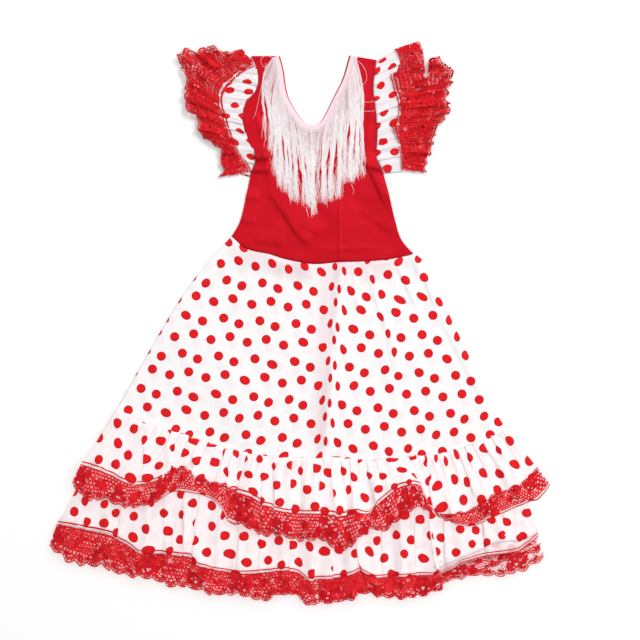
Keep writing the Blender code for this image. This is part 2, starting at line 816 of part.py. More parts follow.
def fringe(name, neck, inward, columns, tips):
    """A ribbon band along one side of the V, and the locks of thread that hang from its lower edge."""
    base = WALL + LOFT + WALL + SEAM_GAP
    inner = [p - Vector((inward * BAND_INSET, 0)) for p in rounded(neck, LOCKS)]
    outer = []
    for i, place in enumerate(inner):
        run = inner[min(i + 1, LOCKS)] - inner[max(i - 1, 0)]
        sideways = Vector((run.y, -run.x)).normalized()
        sideways *= 1 if sideways.x * inward < 0 else -1
        lean = (i / LOCKS) ** BAND_TURN_SHARPNESS
        outer.append(place + sideways.lerp(Vector((0, -1)), lean).normalized() * BAND_WIDTH)
    form = bmesh.new()
    edges = (inner, outer)
    floor_row = [[form.verts.new((p.x * MM, p.y * MM, base * MM)) for p in edge] for edge in edges]
    for k in range(LOCKS):
        form.faces.new((floor_row[0][k], floor_row[0][k + 1], floor_row[1][k + 1], floor_row[1][k]))
    raised = bmesh.ops.extrude_face_region(form, geom=form.faces[:], use_keep_orig=True)
    lifted = [item for item in raised["geom"] if isinstance(item, bmesh.types.BMVert)]
    bmesh.ops.translate(form, verts=lifted, vec=(0, 0, WALL * MM))
    bmesh.ops.recalc_face_normals(form, faces=form.faces[:])

    roots = []
    edge_verts = set(floor_row[1])
    for face in form.faces:
        shared = [v for v in face.verts if v in edge_verts]
        if len(shared) == 2 and abs(face.normal.z) < FLAT_NORMAL:
            roots.append(face)
    roots.sort(key=lambda face: -face.calc_center_median().y)
    tip_path = evenly(tips, LOCKS - 1)
    for k, face in enumerate(roots):
        root = face.calc_center_median() / MM
        share = k / (LOCKS - 1)
        column = columns[0] + (columns[1] - columns[0]) * share
        tip = tip_path[k]
        tip = Vector((tip.x, tip.y + TIP_UNEVENNESS * math.sin(TIP_RHYTHM * k), root.z))
        previous = root.copy()
        roles = None
        for step in range(LOCK_SECTIONS + 1):
            face = bmesh.ops.extrude_discrete_faces(form, faces=[face])["faces"][0]
            v = (step + LOCK_ROOT_SHARE) / (LOCK_SECTIONS + LOCK_ROOT_SHARE)
            hang = 1 - (1 - v) ** HANG_SHARPNESS
            x = root.x + (column - root.x) * hang + (tip.x - column) * v * v
            centre = Vector((x, root.y + (tip.y - root.y) * v, root.z))
            heading = (centre - previous).normalized()
            if roles is None:
                facing = Vector((face.normal.x, face.normal.y, 0)).normalized()
                sidelong = Vector((facing.y, -facing.x, 0))
                middle = face.calc_center_median()
                roles = []
                for corner in face.verts:
                    lateral = (corner.co - middle).dot(sidelong)
                    roles.append((math.copysign(1, lateral), math.copysign(1, corner.co.z - middle.z)))
                heading = (facing + heading).normalized()
            taper = 1 - LOCK_TAPER * v**3
            lock_section(face.verts, roles, centre, heading, LOCK_WIDTH * taper, LOCK_THICKNESS)
            previous = centre
    bmesh.ops.recalc_face_normals(form, faces=form.faces[:])
    mesh = bpy.data.meshes.new(name)
    form.to_mesh(mesh)
    form.free()
    link(name, mesh, WHITE_THREAD)


def build():
    """The whole dress."""
    for old in list(bpy.data.objects):
        bpy.data.objects.remove(old, do_unlink=True)
    dress = bpy.data.collections.new("flamenco_dress")
    bpy.context.scene.collection.children.link(dress)
    bodice_front()
    bodice_back()
    skirt()
    upper_ruffle()
    lower_ruffle()
    sleeve("left", ARM_LEFT, STRIP_LEFT, LACE_LEFT, False)
    sleeve("right", ARM_RIGHT, STRIP_RIGHT, LACE_RIGHT, True)
    fringe("fringe_left", NECK_LEFT, 1, COLUMNS_LEFT, TIPS_LEFT)
    fringe("fringe_right", NECK_RIGHT, -1, COLUMNS_RIGHT, TIPS_RIGHT)


build()
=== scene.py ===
"""The looks of a child's flamenco dress, laid flat with its front up.

Each cloth is a thin shell on its solid's form, with finer folds. The lace is a net of small cells with
flowers and scallops, and the fringe is made of threads. Sizes are in millimetres. X runs across the dress,
Y towards the shoulders and Z up.
"""

import math

import bpy
import numpy as np
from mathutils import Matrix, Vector


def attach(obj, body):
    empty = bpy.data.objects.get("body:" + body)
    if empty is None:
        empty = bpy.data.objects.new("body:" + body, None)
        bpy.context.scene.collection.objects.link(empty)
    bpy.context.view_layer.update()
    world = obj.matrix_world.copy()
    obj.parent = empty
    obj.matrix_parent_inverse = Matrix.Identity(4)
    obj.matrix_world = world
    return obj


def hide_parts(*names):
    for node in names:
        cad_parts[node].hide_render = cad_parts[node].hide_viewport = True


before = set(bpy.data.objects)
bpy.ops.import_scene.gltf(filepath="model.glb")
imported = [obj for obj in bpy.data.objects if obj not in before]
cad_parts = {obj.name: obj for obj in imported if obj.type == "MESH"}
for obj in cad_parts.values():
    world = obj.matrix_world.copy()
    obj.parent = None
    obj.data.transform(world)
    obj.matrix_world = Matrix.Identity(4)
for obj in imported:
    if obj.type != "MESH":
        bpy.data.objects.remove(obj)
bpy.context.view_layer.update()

MM = 0.001
# The solids' wall, the shells' cloth, and the gaps under the front and under the upper ruffle.
WALL, CLOTH, LOFT, FLOUNCE_LOFT = 1.0, 0.45, 1.0, 1.6
HALF_WALL = WALL / 2
FRONT = WALL + LOFT + HALF_WALL
# How the skirt's back steps over the upper ruffle's back.
STEP_RUN, STEP_MARGIN = 9.0, 2.0
HIDDEN_SEAM_DROP = 19.0

# ---------------------------------------------------------------- outlines and folds

# Lines x, y of the bodice, the skirt and the ruffles' seam.
ARM_LEFT = [
    (-75, 413), (-67, 396), (-64, 376), (-69, 358), (-84, 340), (-88, 312), (-80, 283), (-68, 256), (-77, 225),
]
SIDE_LEFT = [(-77, 225), (-83, 196), (-92, 158), (-106, 133)]
NECK_LEFT = [(-32, 413), (-26, 391), (-20, 355), (-7, 329), (7, 310), (17.4, 305)]
ARM_RIGHT = [(119, 407), (115, 380), (114, 358), (118, 325), (120, 290), (119, 255), (129, 233)]
SIDE_RIGHT = [(129, 233), (139, 196), (148, 158), (158, 128), (176, 107)]
NECK_RIGHT = [(78, 414), (75, 403), (67, 377), (53, 349), (40, 323), (30, 308), (17.4, 305)]
WAIST = [
    (-106, 133), (-83, 114), (-46, 105), (-24, 98), (0, 93), (24, 90), (61, 93), (95, 94), (135, 97),
    (171, 104), (176, 107),
]
SKIRT_LEFT = [(-106, 133), (-148, 87), (-184, 38), (-221, -23), (-251, -76), (-283, -133), (-293, -152)]
SKIRT_RIGHT = [(176, 107), (193, 93), (213, 53), (238, -1), (270, -68), (293, -122), (321, -167), (327, -186)]
GATHER_SEAM = [
    (-283, -133), (-235, -158), (-190, -170), (-153, -184), (-79, -203), (-13, -210), (58, -209), (103, -214),
    (169, -208), (216, -204), (267, -189), (307, -173), (321, -167),
]
# A row for each crest and hollow of a ruffle: x and y of its hem, drop of the lace, height, lean of the fold
# to the right.
UPPER_FOLDS = [
    (-337, -215, 36, 2, 0), (-316, -220, 51, 8, 0.5), (-294, -229, 43, 3, 0.8), (-268, -243, 43, 9, 1),
    (-243, -246, 37, 3, 0.8), (-218, -238, 40, 8, 0.4), (-196, -226, 37, 3, -0.4), (-170, -228, 34, 9, -1),
    (-148, -241, 27, 3, -0.8), (-127, -249, 30, 8, 0.4), (-105, -254, 54, 2, 0.9), (-80, -262, 57, 10, 0.8),
    (-52, -276, 51, 3, 0.3), (-27, -286, 45, 11, -0.4), (-4, -290, 46, 4, -0.8), (19, -290, 43, 12, 0.3),
    (44, -290, 54, 5, 0.9), (58, -293, 56, 13, 0.9), (70, -291, 57, 4, 0.4), (89, -288, 50, 10, -0.3),
    (107, -291, 30, 4, -0.3), (128, -269, 50, 9, 0), (152, -248, 54, 13, 0.4), (176, -246, 40, 15, 0.9),
    (193, -269, 23, 8, 1), (219, -293, 10, 3, 0.8), (241, -294, 19, 10, -0.4), (264, -290, 24, 4, -0.6),
    (289, -270, 31, 9, -0.3), (315, -263, 27, 4, 0.4), (340, -249, 28, 9, 0.5), (354, -237, 36, 4, 0.2),
    (369, -223, 28, 2, 0),
]
# How far the lace's free edge stands out past its header at the ruffle's ends, left and right.
UPPER_LACE_FLARE, LOWER_LACE_FLARE = (17, 19), (15, 10)
LOWER_FOLDS = [
    (-375, -308, 42, 2, 0), (-350, -311, 53, 8, 0.4), (-325, -316, 59, 3, 0.4), (-297, -322, 59, 9, 0.8),
    (-274, -332, 53, 2, 1.2), (-248, -352, 43, 8, -0.3), (-217, -353, 48, 3, -0.4), (-186, -356, 51, 9, 0.8),
    (-164, -359, 54, 3, 1.4), (-151, -373, 45, 10, 1.2), (-120, -381, 39, 4, -0.3), (-88, -384, 40, 9, -0.5),
    (-55, -383, 45, 3, 0.6), (-27, -379, 42, 9, 0.9), (-4, -381, 43, 3, 0.9), (13, -395, 40, 10, 0.8),
    (31, -393, 42, 4, 1.1), (45, -392, 43, 9, 1.3), (59, -392, 42, 2, 1.3), (81, -384, 42, 9, 0.9),
    (103, -378, 37, 5, 1.4), (115, -390, 36, 9, 0.6), (137, -390, 36, 3, -0.4), (163, -389, 36, 9, 0.2),
    (194, -387, 37, 4, 1), (213, -387, 25, 10, 1.3), (227, -382, 19, 3, 1), (252, -367, 29, 9, -0.2),
    (283, -358, 33, 4, -0.4), (314, -353, 37, 8, 0.3), (341, -348, 37, 3, 0.5), (369, -326, 34, 2, 0),
]
# Where the upper lace is turned up over its ruffle: x of the hem, and 0 for hanging or 1 for turned up.
UPPER_TURNS = [(-340, 0), (-222, 0), (-206, 1), (-112, 1), (-92, 0), (182, 0), (226, 1), (372, 1)]
# For lace that hangs down all along, and for a hem that is not drawn up.
LEVEL = [(-380, 0), (380, 0)]
# How far the lower hem is drawn up, so that the inside of its back shows: x of the hem, rise.
LOWER_RAISED = [(-380, 0), (196, 0), (226, 10), (252, 9), (279, 11), (300, 19), (323, 19), (345, 14), (369, 4)]
# The ruffles' backs.
BACK_GATHER_SEAM = [(-281, -136), (-190, -174), (-79, -206), (18, -214), (131, -216), (241, -201), (319, -169)]
BACK_UPPER_HEM = [(-334, -217), (-230, -245), (-100, -270), (30, -284), (150, -274), (260, -262), (365, -224)]
BACK_UPPER_LACE = [(-349, -250), (-240, -281), (-105, -309), (30, -322), (150, -312), (265, -292), (350, -262)]
BACK_LOWER_HEM = [(-371, -305), (-250, -342), (-110, -374), (30, -386), (170, -379), (270, -358), (365, -325)]
BACK_LOWER_LACE = [(-386, -346), (-250, -384), (-110, -414), (30, -428), (150, -420), (260, -396), (375, -356)]
# The sleeves' outer edges: of the dotted strips, and of the lace.
STRIP_LEFT = [
    (-81, 409), (-102, 381), (-116, 366), (-124, 352), (-126, 337), (-113, 303), (-97, 263), (-86, 229),
]
LACE_LEFT = [
    (-91, 427), (-112, 419), (-130, 424), (-150, 425), (-184, 418), (-180, 386), (-180, 366), (-171, 330),
    (-159, 317), (-162, 303), (-150, 287), (-122, 269), (-127, 251), (-120, 239), (-124, 225),
]
STRIP_RIGHT = [
    (147, 424), (152, 406), (144, 388), (144, 374), (151, 342), (147, 307), (151, 275), (157, 255), (157, 236),
]
LACE_RIGHT = [
    (188, 437), (193, 423), (205, 410), (221, 407), (235, 396), (233, 380), (236, 364), (231, 334), (220, 307),
    (205, 281), (204, 261), (195, 232),
]
# Where the headers of the sleeves' lace lie on the dotted strips.
HEADER_LEFT = [
    (-69, 398), (-84, 391), (-100, 378), (-113, 364), (-120, 351), (-120, 337), (-114, 317), (-107, 294),
    (-95, 265), (-81, 246), (-75, 233),
]
HEADER_RIGHT = [
    (147, 424), (155, 405), (155, 390), (141, 385), (144, 368), (152, 341), (152, 320), (142, 309), (147, 290),
    (153, 277), (156, 255), (157, 236),
]
# The gap between two folds of the right sleeve's lace: its mouth, and its bottom between them.
LACE_GAP = [(189, 450), (196.5, 377), (205, 450)]
# Creases: from x, y to x, y, height, half width, and the side that falls off gently, 1 for left of the run.
BODICE_CREASES = [
    (-46, 202, -24, 171, 3.4, 8, 1), (-26, 174, -6, 142, 4.6, 7, 1), (-10, 146, 14, 122, 3.4, 8, 1),
    (8, 150, 36, 132, 1.2, 6, 0.5), (-70, 128, -24, 122, 2.4, 7, 0.6), (-92, 157, -68, 155, 2.4, 5, 0.5),
    (-84, 193, -64, 191, 2, 5, 0.5), (-82, 235, -44, 236, 6.5, 5, 0.4), (-72, 253, -42, 257, 12, 6, 0.4),
    (62, 190, 62, 97, 2, 4, 0), (96, 246, 130, 236, 6, 6, 0.6), (108, 242, 134, 184, 4.6, 7, 0.8),
    (92, 176, 146, 140, 1.4, 8, 1), (30, 112, 120, 116, 1.6, 8, 0), (112, 350, 104, 270, 1.4, 7, 0),
    (-70, 330, -58, 290, 1.6, 7, 0), (-51, 270, -38, 212, 4, 15, 0.6),
]
# Creases: from x, y to x, y, height, half width, and how far they lean over sideways, as a share of height.
SKIRT_CREASES = [
    (190, 84, 216, 20, 2.2, 9, -0.8), (216, 20, 292, -130, 2.2, 10, -0.7), (176, 100, 190, 60, 2, 7, 1.2),
    (66, 92, 56, -40, 4.4, 16, 0), (56, -40, 39, -210, 4.4, 16, 0), (104, 88, 136, -10, 1.8, 10, -0.2),
    (136, -10, 152, -80, 1.4, 10, -0.3), (-62, 98, -108, 10, 2, 12, 0.6), (-92, 112, -150, 50, 1.8, 9, 0),
    (-22, 96, -36, 30, 1.6, 10, 0.8), (150, 96, 186, 20, 1.8, 9, -1), (84, 90, 90, 10, 1.6, 7, 0.8),
    (-92, 108, 30, 78, 3.2, 26, 0),
]
# Where the skirt's print looks narrow: from x, y to x, y, cloth taken up, half width, rise of the print.
SKIRT_STEEP = [(65, 95, 39, -210, 27, 20, 8), (106, 90, 153, -75, 8, 9, -3), (212, 60, 305, -130, 12, 12, 3)]
# Where shade is painted on the skirt along its folds: from x, y to x, y, strength of the painted shade, half
# width.
SKIRT_PAINTED_SHADES = [(42, 70, 29, -205, 0.66, 22), (112, 95, 122, 60, 0.25, 14)]
# The ruffles' folds that lie over to one side, with the same columns.
UPPER_CREASES = [
    (-275, -175, -289, -240, 3, 9, 1.2), (-238, -172, -237, -250, 3, 8, -1.5),
    (-205, -176, -204, -235, 2.4, 7, 1.4), (-159, -185, -159, -262, 4, 8, -1.8),
    (-108, -195, -105, -276, 3, 8, -1.5), (-80, -200, -78, -250, 2.4, 7, 1.5),
    (-52, -198, -52, -330, 4, 8, -1.8), (-35, -198, -34, -330, 3.4, 7, -1.6),
    (-18, -200, -15, -330, 3.4, 7, 1.6), (8, -200, 10, -262, 2.4, 7, -1.5), (31, -198, 46, -330, 4.6, 8, -2.2),
    (54, -198, 60, -330, 4.6, 6, -2.3), (68, -200, 67, -330, 3.6, 6, 2), (92, -205, 94, -262, 2.4, 7, -1.5),
    (117, -200, 121, -284, 3, 8, -1.4), (163, -198, 158, -250, 3, 9, 1.2), (194, -195, 207, -236, 4.4, 8, -2),
    (207, -236, 222, -300, 5.2, 8, -2.3), (213, -250, 228, -306, 3, 6, -2), (240, -190, 246, -250, 2.6, 8, 1.4),
    (264, -184, 271, -266, 3, 8, -1.5), (288, -178, 296, -240, 2.4, 8, -1.4), (307, -172, 318, -256, 3, 9, 1.3),
]
LOWER_CREASES = [
    (-322, -240, -330, -330, 2.6, 8, -1.4), (-300, -240, -303, -330, 2.4, 8, 1.2),
    (-273, -250, -273, -345, 3, 7, -1.5), (-236, -250, -240, -360, 2.6, 8, 1.3),
    (-205, -250, -208, -370, 2.4, 8, -1.4), (-174, -250, -177, -380, 3, 7, -1.8),
    (-146, -250, -152, -335, 5, 9, -2.2), (-152, -335, -158, -392, 5, 9, -2.2),
    (-125, -280, -132, -392, 3, 7, 1.5), (-90, -290, -92, -392, 2.6, 8, -1.4),
    (-55, -300, -58, -400, 3, 7, -1.6), (-30, -300, -30, -400, 2.4, 7, 1.4), (-9, -300, -7, -410, 4, 8, -1.9),
    (30, -300, 28, -410, 3.2, 6, -1.8), (61, -300, 61, -410, 5, 8, -2.2), (90, -290, 110, -405, 5.6, 10, -2.2),
    (132, -300, 131, -400, 2.6, 6, -1.4), (156, -300, 158, -400, 2.6, 7, 1.4),
    (184, -290, 185, -400, 3, 6, -1.6), (206, -270, 220, -395, 5.6, 8, -2.3),
    (228, -290, 233, -385, 3.2, 6, -1.7), (258, -280, 264, -370, 2.6, 8, 1.3),
    (286, -270, 292, -362, 2.6, 8, -1.5), (317, -262, 324, -352, 3, 7, -1.6),
    (334, -262, 340, -350, 2.4, 6, 1.3),
]
# The fringe's locks, from shoulder to V: from x to x at the top and at the tips, y of the tips, threads.
LOCKS_LEFT = [
    (-62, -56, -57, -52, 280, 16), (-56, -46, -48, -40, 262, 40), (-46, -37, -40, -33, 234, 54),
    (-37, -27, -34, -24, 208, 84), (-27, -16, -24, -10, 195, 86), (-16, -5, -10, -1, 192, 50),
    (-5, 6, 3, 14, 184, 62), (6, 19, 12, 25, 172, 84),
]
LOCKS_RIGHT = [
    (96, 101, 93, 100, 231, 30), (89, 96, 84, 92, 226, 62), (79, 89, 75, 84, 211, 84),
    (68, 79, 66, 74, 221, 40), (58, 68, 56, 66, 197, 60), (47, 58, 44, 53, 182, 72), (34, 47, 33, 42, 186, 68),
    (26, 34, 25, 31, 196, 12), (15, 26, 16, 25, 176, 54),
]
# The fringe's ribbon: its width, and how far inside the neckline it begins.
BAND_WIDTH, BAND_INSET = 11.0, 1.0
# Loose threads and loops: side, then places x, y.
STRAYS = [
    ("left", [(-52, 402), (-62, 352), (-69, 322), (-72, 316)]),
    ("left", [(-42, 408), (-50, 414), (-60, 408), (-56, 396), (-48, 400)]),
    ("left", [(-44, 300), (-43, 268), (-45, 252), (-41, 244)]), ("left", [(10, 178), (13, 166), (16, 160)]),
    ("left", [(18, 308), (22, 314), (28, 312), (26, 305), (20, 306)]),
    ("right", [(84, 408), (94, 402), (102, 390), (104, 376), (98, 368)]),
    ("right", [(94, 345), (104, 341), (114, 342), (122, 338)]), ("right", [(92, 330), (104, 327), (118, 328)]),
    ("right", [(80, 214), (84, 204), (82, 198)]),
]

# ---------------------------------------------------------------- colours

RED_SATIN = (0.56, 0.0085, 0.018)
DOT_RED = (0.75, 0.010, 0.014)
CLOTH_WHITE = (0.893, 0.875, 0.880)
# The ruffles' white is the same cloth painted pinker: painted light, bounced off the red lace and print.
RUFFLE_WHITE_PAINTED_BOUNCE = (0.925, 0.835, 0.845)
# The sleeves' white is the skirt's cloth painted greyer: painted shade for the pleated strips.
SLEEVE_WHITE_PAINTED_SHADE = (0.775, 0.735, 0.755)
WRONG_SIDE = (0.88, 0.77, 0.78)
SHOW_THROUGH = (0.83, 0.70, 0.73)
LACE_RED = (0.52, 0.013, 0.022)
THREAD_WHITE = (0.97, 0.935, 0.945)
BAND_PINK = (0.86, 0.73, 0.75)
FLOOR_WHITE = (0.96, 0.96, 0.965)

# The print: two sides of its cell, the dots' places as shares of them, their diameter, and one dot's place.
CELL_A, CELL_B = (56.3, -4.3), (-7.8, -58.9)
DOTS = [(0.0, 0.0), (0.436, 0.119), (0.240, 0.472), (0.731, 0.586)]
DOT_DIAMETER = 14.4
DOT_START = (-135.5, 6.4)

# ---------------------------------------------------------------- reading tables


def clamp(value):
    """The values held between 0 and 1."""
    return np.clip(value, 0.0, 1.0)


def ease(value):
    """A smooth step from 0 to 1."""
    u = clamp(value)
    return u * u * (3 - 2 * u)


def near_ends(share, rate, start=0.0):
    """A smooth rise from both ends of a line."""
    return ease(np.minimum(share, 1 - share) * rate + start)


def hump(off):
    """A smooth hump: 1 at 0, and 0 from -1 and 1 outwards."""
    return 0.5 + 0.5 * np.cos(math.pi * np.clip(off, -1, 1))


def spaced(steps):
    """Shares from 0 to 1, in so many steps."""
    return np.linspace(0, 1, steps + 1)


def blend(first, second, share):
    """Places between two lines."""
    return first * (1 - share) + second * share


def stretch(rows, column, place):
    """The first column and another, the row before each place, and the share of the way to the next row."""
    keys, values = np.array([(row[0], row[column]) for row in rows], float).T
    k = np.clip(np.searchsorted(keys, place, side="right") - 1, 0, len(keys) - 2)
    return keys, values, k, clamp((place - keys[k]) / (keys[k + 1] - keys[k]))


def eased_column(rows, column, place):
    """A column at places in the first one, level at each row, as waves are."""
    _, values, k, share = stretch(rows, column, place)
    return values[k] + (values[k + 1] - values[k]) * ease(share)


def curved_column(rows, column, place):
    """A column at places in the first one, on a smooth curve through the rows."""
    keys, values, k, u = stretch(rows, column, place)
    order = np.arange(len(keys))
    before, after = np.maximum(order - 1, 0), np.minimum(order + 1, len(keys) - 1)
    slope = (values[after] - values[before]) / (keys[after] - keys[before])
    bend = u * (1 - u) * (keys[k + 1] - keys[k]) * ((1 - u) * slope[k] - u * slope[k + 1])
    return values[k] + (values[k + 1] - values[k]) * ease(u) + bend


def width_place(rows, share):
    """x at a share of the way across a line from its left end to its right."""
    return rows[0][0] + (rows[-1][0] - rows[0][0]) * np.asarray(share, float)


def share_at(rows, x):
    """Share of the way across a line at a place x."""
    return (x - rows[0][0]) / (rows[-1][0] - rows[0][0])


def across(rows, share):
    """Places of a line that runs from left to right, at shares of its width."""
    x = width_place(rows, share)
    return np.stack([x, curved_column(rows, 1, x)], -1)


def step_along(points):
    """Length along rows of points from the first one on."""
    steps = np.linalg.norm(np.diff(points, axis=-2), axis=-1)
    return np.concatenate([np.zeros_like(steps[..., :1]), np.cumsum(steps, -1)], -1)


def rounded(points, shares):
    """Places on a smooth path through points, at shares of its length."""
    p = np.array(points, float)
    spans = len(p) - 1
    u = np.linspace(0, 1, 24, endpoint=False)[:, None]
    fine = []
    for k in range(spans):
        a, b, c, d = (p[min(max(k + i, 0), spans)] for i in (-1, 0, 1, 2))
        curve = (c - a) * u + (2 * a - 5 * b + 4 * c - d) * u**2 + (3 * b - a - 3 * c + d) * u**3
        fine.append(b + curve / 2)
    fine = np.concatenate(fine + [p[-1:]])
    lengths = step_along(fine)
    return np.stack([np.interp(shares * lengths[-1], lengths, fine[:, i]) for i in (0, 1)], -1)


def beside_line(x, y, row):
    """Share of the way along a row's line, and how far in x and y places lie from it."""
    x0, y0, x1, y1 = row[:4]
    run = np.array([x1 - x0, y1 - y0], float)
    share = ((x - x0) * run[0] + (y - y0) * run[1]) / run.dot(run)
    held = clamp(share)
    return share, x - x0 - run[0] * held, y - y0 - run[1] * held


def creases(x, y, rows, one_sided=False):
    """Height of a table's creases, and how far they lean over. One-sided ones fall off gently on a side."""
    height, sideways = np.zeros_like(x), np.zeros_like(x)
    for row in rows:
        x0, y0, x1, y1, tall, half_width, lean = row
        share, off_x, off_y = beside_line(x, y, row)
        off = np.hypot(off_x, off_y) / half_width
        if one_sided:
            left = off_y * (x1 - x0) > off_x * (y1 - y0)
            off = off / np.where(left == (lean > 0), 1 + 6.0 * abs(lean), 1.0)
        bump = tall * near_ends(share, 3, 0.35) * hump(off)
        height += bump
        sideways += lean * bump
    return height, sideways


def wobble(x, y, size, seed):
    """A smooth uneven height between about -1 and 1."""
    rng = np.random.default_rng(seed)
    total = np.zeros_like(x)
    for _ in range(5):
        turn, phase = rng.uniform(0, math.tau, 2)
        scale = size * rng.uniform(0.7, 1.5)
        total += np.sin((x * math.cos(turn) + y * math.sin(turn)) * math.tau / scale + phase)
    return total / 3


# ---------------------------------------------------------------- the layers' heights

HIDDEN_SEAM = [SKIRT_LEFT[-1], *((x, y - HIDDEN_SEAM_DROP) for x, y in GATHER_SEAM[1:-1]), SKIRT_RIGHT[-1]]


def back_base(x, y):
    """Bottom of the skirt's back, which steps over the upper ruffle's back."""
    above_seam = curved_column(BACK_GATHER_SEAM, 1, x) + STEP_MARGIN + STEP_RUN - y
    above_lace = y - curved_column(BACK_UPPER_LACE, 1, x) + STEP_MARGIN + STEP_RUN
    return (WALL + 0.3) * clamp(above_seam / STEP_RUN) * clamp(above_lace / STEP_RUN)


def back_middle(x, y):
    """Middle of a cloth on the back's base."""
    return back_base(x, y) + HALF_WALL


def lower_place(x, y):
    """Shares across and down of places on the lower ruffle's front."""
    top, hem = HIDDEN_SEAM, LOWER_FOLDS
    down = np.full_like(x, 0.5)
    for _ in range(6):
        left, right = (top[i][0] + (hem[i][0] - top[i][0]) * down for i in (0, -1))
        side = clamp((x - left) / (right - left))
        upper, lower = (across(rows, side)[..., 1] for rows in (top, hem))
        down = np.maximum((upper - y) / (upper - lower), 0.0)
    return side, down


def wave_height(folds, side):
    """Height of a ruffle's waves at its hem."""
    return eased_column(folds, 3, width_place(folds, side))


def lower_wave(side, down):
    """Height of the lower ruffle's waves, which grow to its hem."""
    return wave_height(LOWER_FOLDS, side) * ease(np.minimum(down, 1.0) * 0.85)


def upper_wave(side, down):
    """Height of the upper ruffle's waves, which begin at its seam."""
    return wave_height(UPPER_FOLDS, side) * ease(0.12 + 0.88 * down)


def below_waist(x, y):
    """How far places lie below the waist seam."""
    return curved_column(WAIST, 1, np.clip(x, WAIST[0][0], WAIST[-1][0])) - y


def waist_puckers(x, y):
    """Small gathers that run down from the waist seam."""
    below = below_waist(x, y) / 60.0
    phase = x / 8.7 + 0.9 * np.sin(x / 31.0) + 0.5 * np.sin(x / 13.0)
    return 1.3 * (1 + np.sin(phase)) * (1 - ease(below)) ** 1.5 * ease(below * 12)


def skirt_height(x, y):
    """Middle of the skirt's front."""
    soft = 0.5 * wobble(x, y, 120, 3) + 0.5
    return back_base(x, y) + FRONT + creases(x, y, SKIRT_CREASES)[0] + waist_puckers(x, y) + soft


def under_upper(x, y):
    """Height of the upper ruffle's middle before its own folds: the skirt, the lower ruffle and a gap."""
    return skirt_height(x, y) + lower_wave(*lower_place(x, y)) + 1.0 + FLOUNCE_LOFT


def gather_phase(share, count, seed):
    """Phase of uneven gathers at shares of the way across."""
    uneven = 0.5 * np.sin(share * 41 + seed) + 0.4 * np.sin(share * 97 + 2 * seed)
    return math.tau * share * count + uneven


def lean_of_gathers(share, seed):
    """How far gathers lean over to one side, for each unit of height."""
    return 2.0 * np.tanh(3 * np.sin(share * 17 + seed)) + 0.8 * np.sin(share * 43 + seed)


# ---------------------------------------------------------------- meshes


def with_height(plan, height):
    """Points over places x, y, at heights or at the heights that a function of x and y gives."""
    if callable(height):
        height = height(plan[..., 0], plan[..., 1])
    return np.concatenate([plan, np.broadcast_to(height, plan.shape[:-1])[..., None]], -1)


def mesh_object(name, points, faces, uv=None, tone=None):
    """An object from points and faces, with a place on the cloth and a tone for each point."""
    faces = np.asarray(faces, np.int32)
    mesh = bpy.data.meshes.new(name)
    mesh.from_pydata(np.asarray(points, float).reshape(-1, 3) * MM, [], faces, shade_flat=False)
    if uv is not None:
        layer = mesh.uv_layers.new(name="cloth")
        layer.data.foreach_set("uv", (np.asarray(uv, float).reshape(-1, 2) * MM)[faces.ravel()].ravel())
    if tone is not None:
        shade = mesh.color_attributes.new(name="tone", type="FLOAT_COLOR", domain="POINT")
        shade.data.foreach_set("color", np.repeat(np.asarray(tone, float), 4))
    mesh.validate()
    piece = bpy.data.objects.new(name, mesh)
    bpy.context.scene.collection.objects.link(piece)
    return piece


def quads(near, far):
    """Four-sided faces from the numbers of their two near corners and two far ones."""
    return np.stack([near[0], far[0], far[1], near[1]], -1).reshape(-1, 4)


def grid_faces(rows, columns, start=0):
    """Quads of a grid whose points are numbered row by row."""
    index = np.arange(rows * columns).reshape(rows, columns) + start
    return quads((index[:-1, :-1], index[:-1, 1:]), (index[1:, :-1], index[1:, 1:]))


def facing_up(points, faces):
    """The faces, turned so that most of them look up."""
    a, b, c = (points[faces[:, i]] for i in (0, 1, 2))
    return faces[:, ::-1] if np.cross(b - a, c - a)[:, 2].sum() < 0 else faces


def add_thickness(piece, thick=CLOTH):
    """Thickness round the middle of a sheet."""
    mod = piece.modifiers.new("cloth", "SOLIDIFY")
    mod.thickness = thick * MM
    mod.offset = 0.0


def cloth_grid(name, points, uv, thick=CLOTH, tone=None):
    """A sheet of cloth from rows of points, thickened round its middle."""
    flat = points.reshape(-1, 3)
    faces = facing_up(flat, grid_faces(*points.shape[:2]))
    piece = mesh_object(name, flat, faces, uv, None if tone is None else tone.ravel())
    add_thickness(piece, thick)
    return piece


def patch(top, bottom, left, right):
    """Rows of points that fill four borders of points."""
    u = spaced(len(top) - 1)[None, :, None]
    v = spaced(len(left) - 1)[:, None, None]
    ruled = top[None] * (1 - v) + bottom[None] * v + left[:, None] * (1 - u) + right[:, None] * u
    corners = top[0] * (1 - u) * (1 - v) + top[-1] * u * (1 - v) + bottom[0] * (1 - u) * v + bottom[-1] * u * v
    return ruled - corners


def unit(vectors):
    """The vectors, each of length 1."""
    return vectors / np.maximum(np.linalg.norm(vectors, axis=-1, keepdims=True), 1e-9)


def tubes(paths, radius, sides=3):
    """Threads: a thin tube along each path, narrowed at its end."""
    count, steps = paths.shape[:2]
    along = unit(np.gradient(paths, axis=1))
    side = unit(np.cross(along, np.array([0, 0, 1.0])))
    up = np.cross(side, along)
    taper = np.linspace(1, 0.55, steps)[None, :, None, None] * radius
    turn = (np.arange(sides) * math.tau / sides)[None, None, :, None]
    points = paths[:, :, None] + (side[:, :, None] * np.cos(turn) + up[:, :, None] * np.sin(turn)) * taper
    index = np.arange(count * steps * sides).reshape(count, steps, sides)
    following = np.roll(index, -1, axis=2)
    faces = quads((index[:, :-1], index[:, 1:]), (following[:, :-1], following[:, 1:]))
    return points.reshape(-1, 3), faces


# ---------------------------------------------------------------- materials


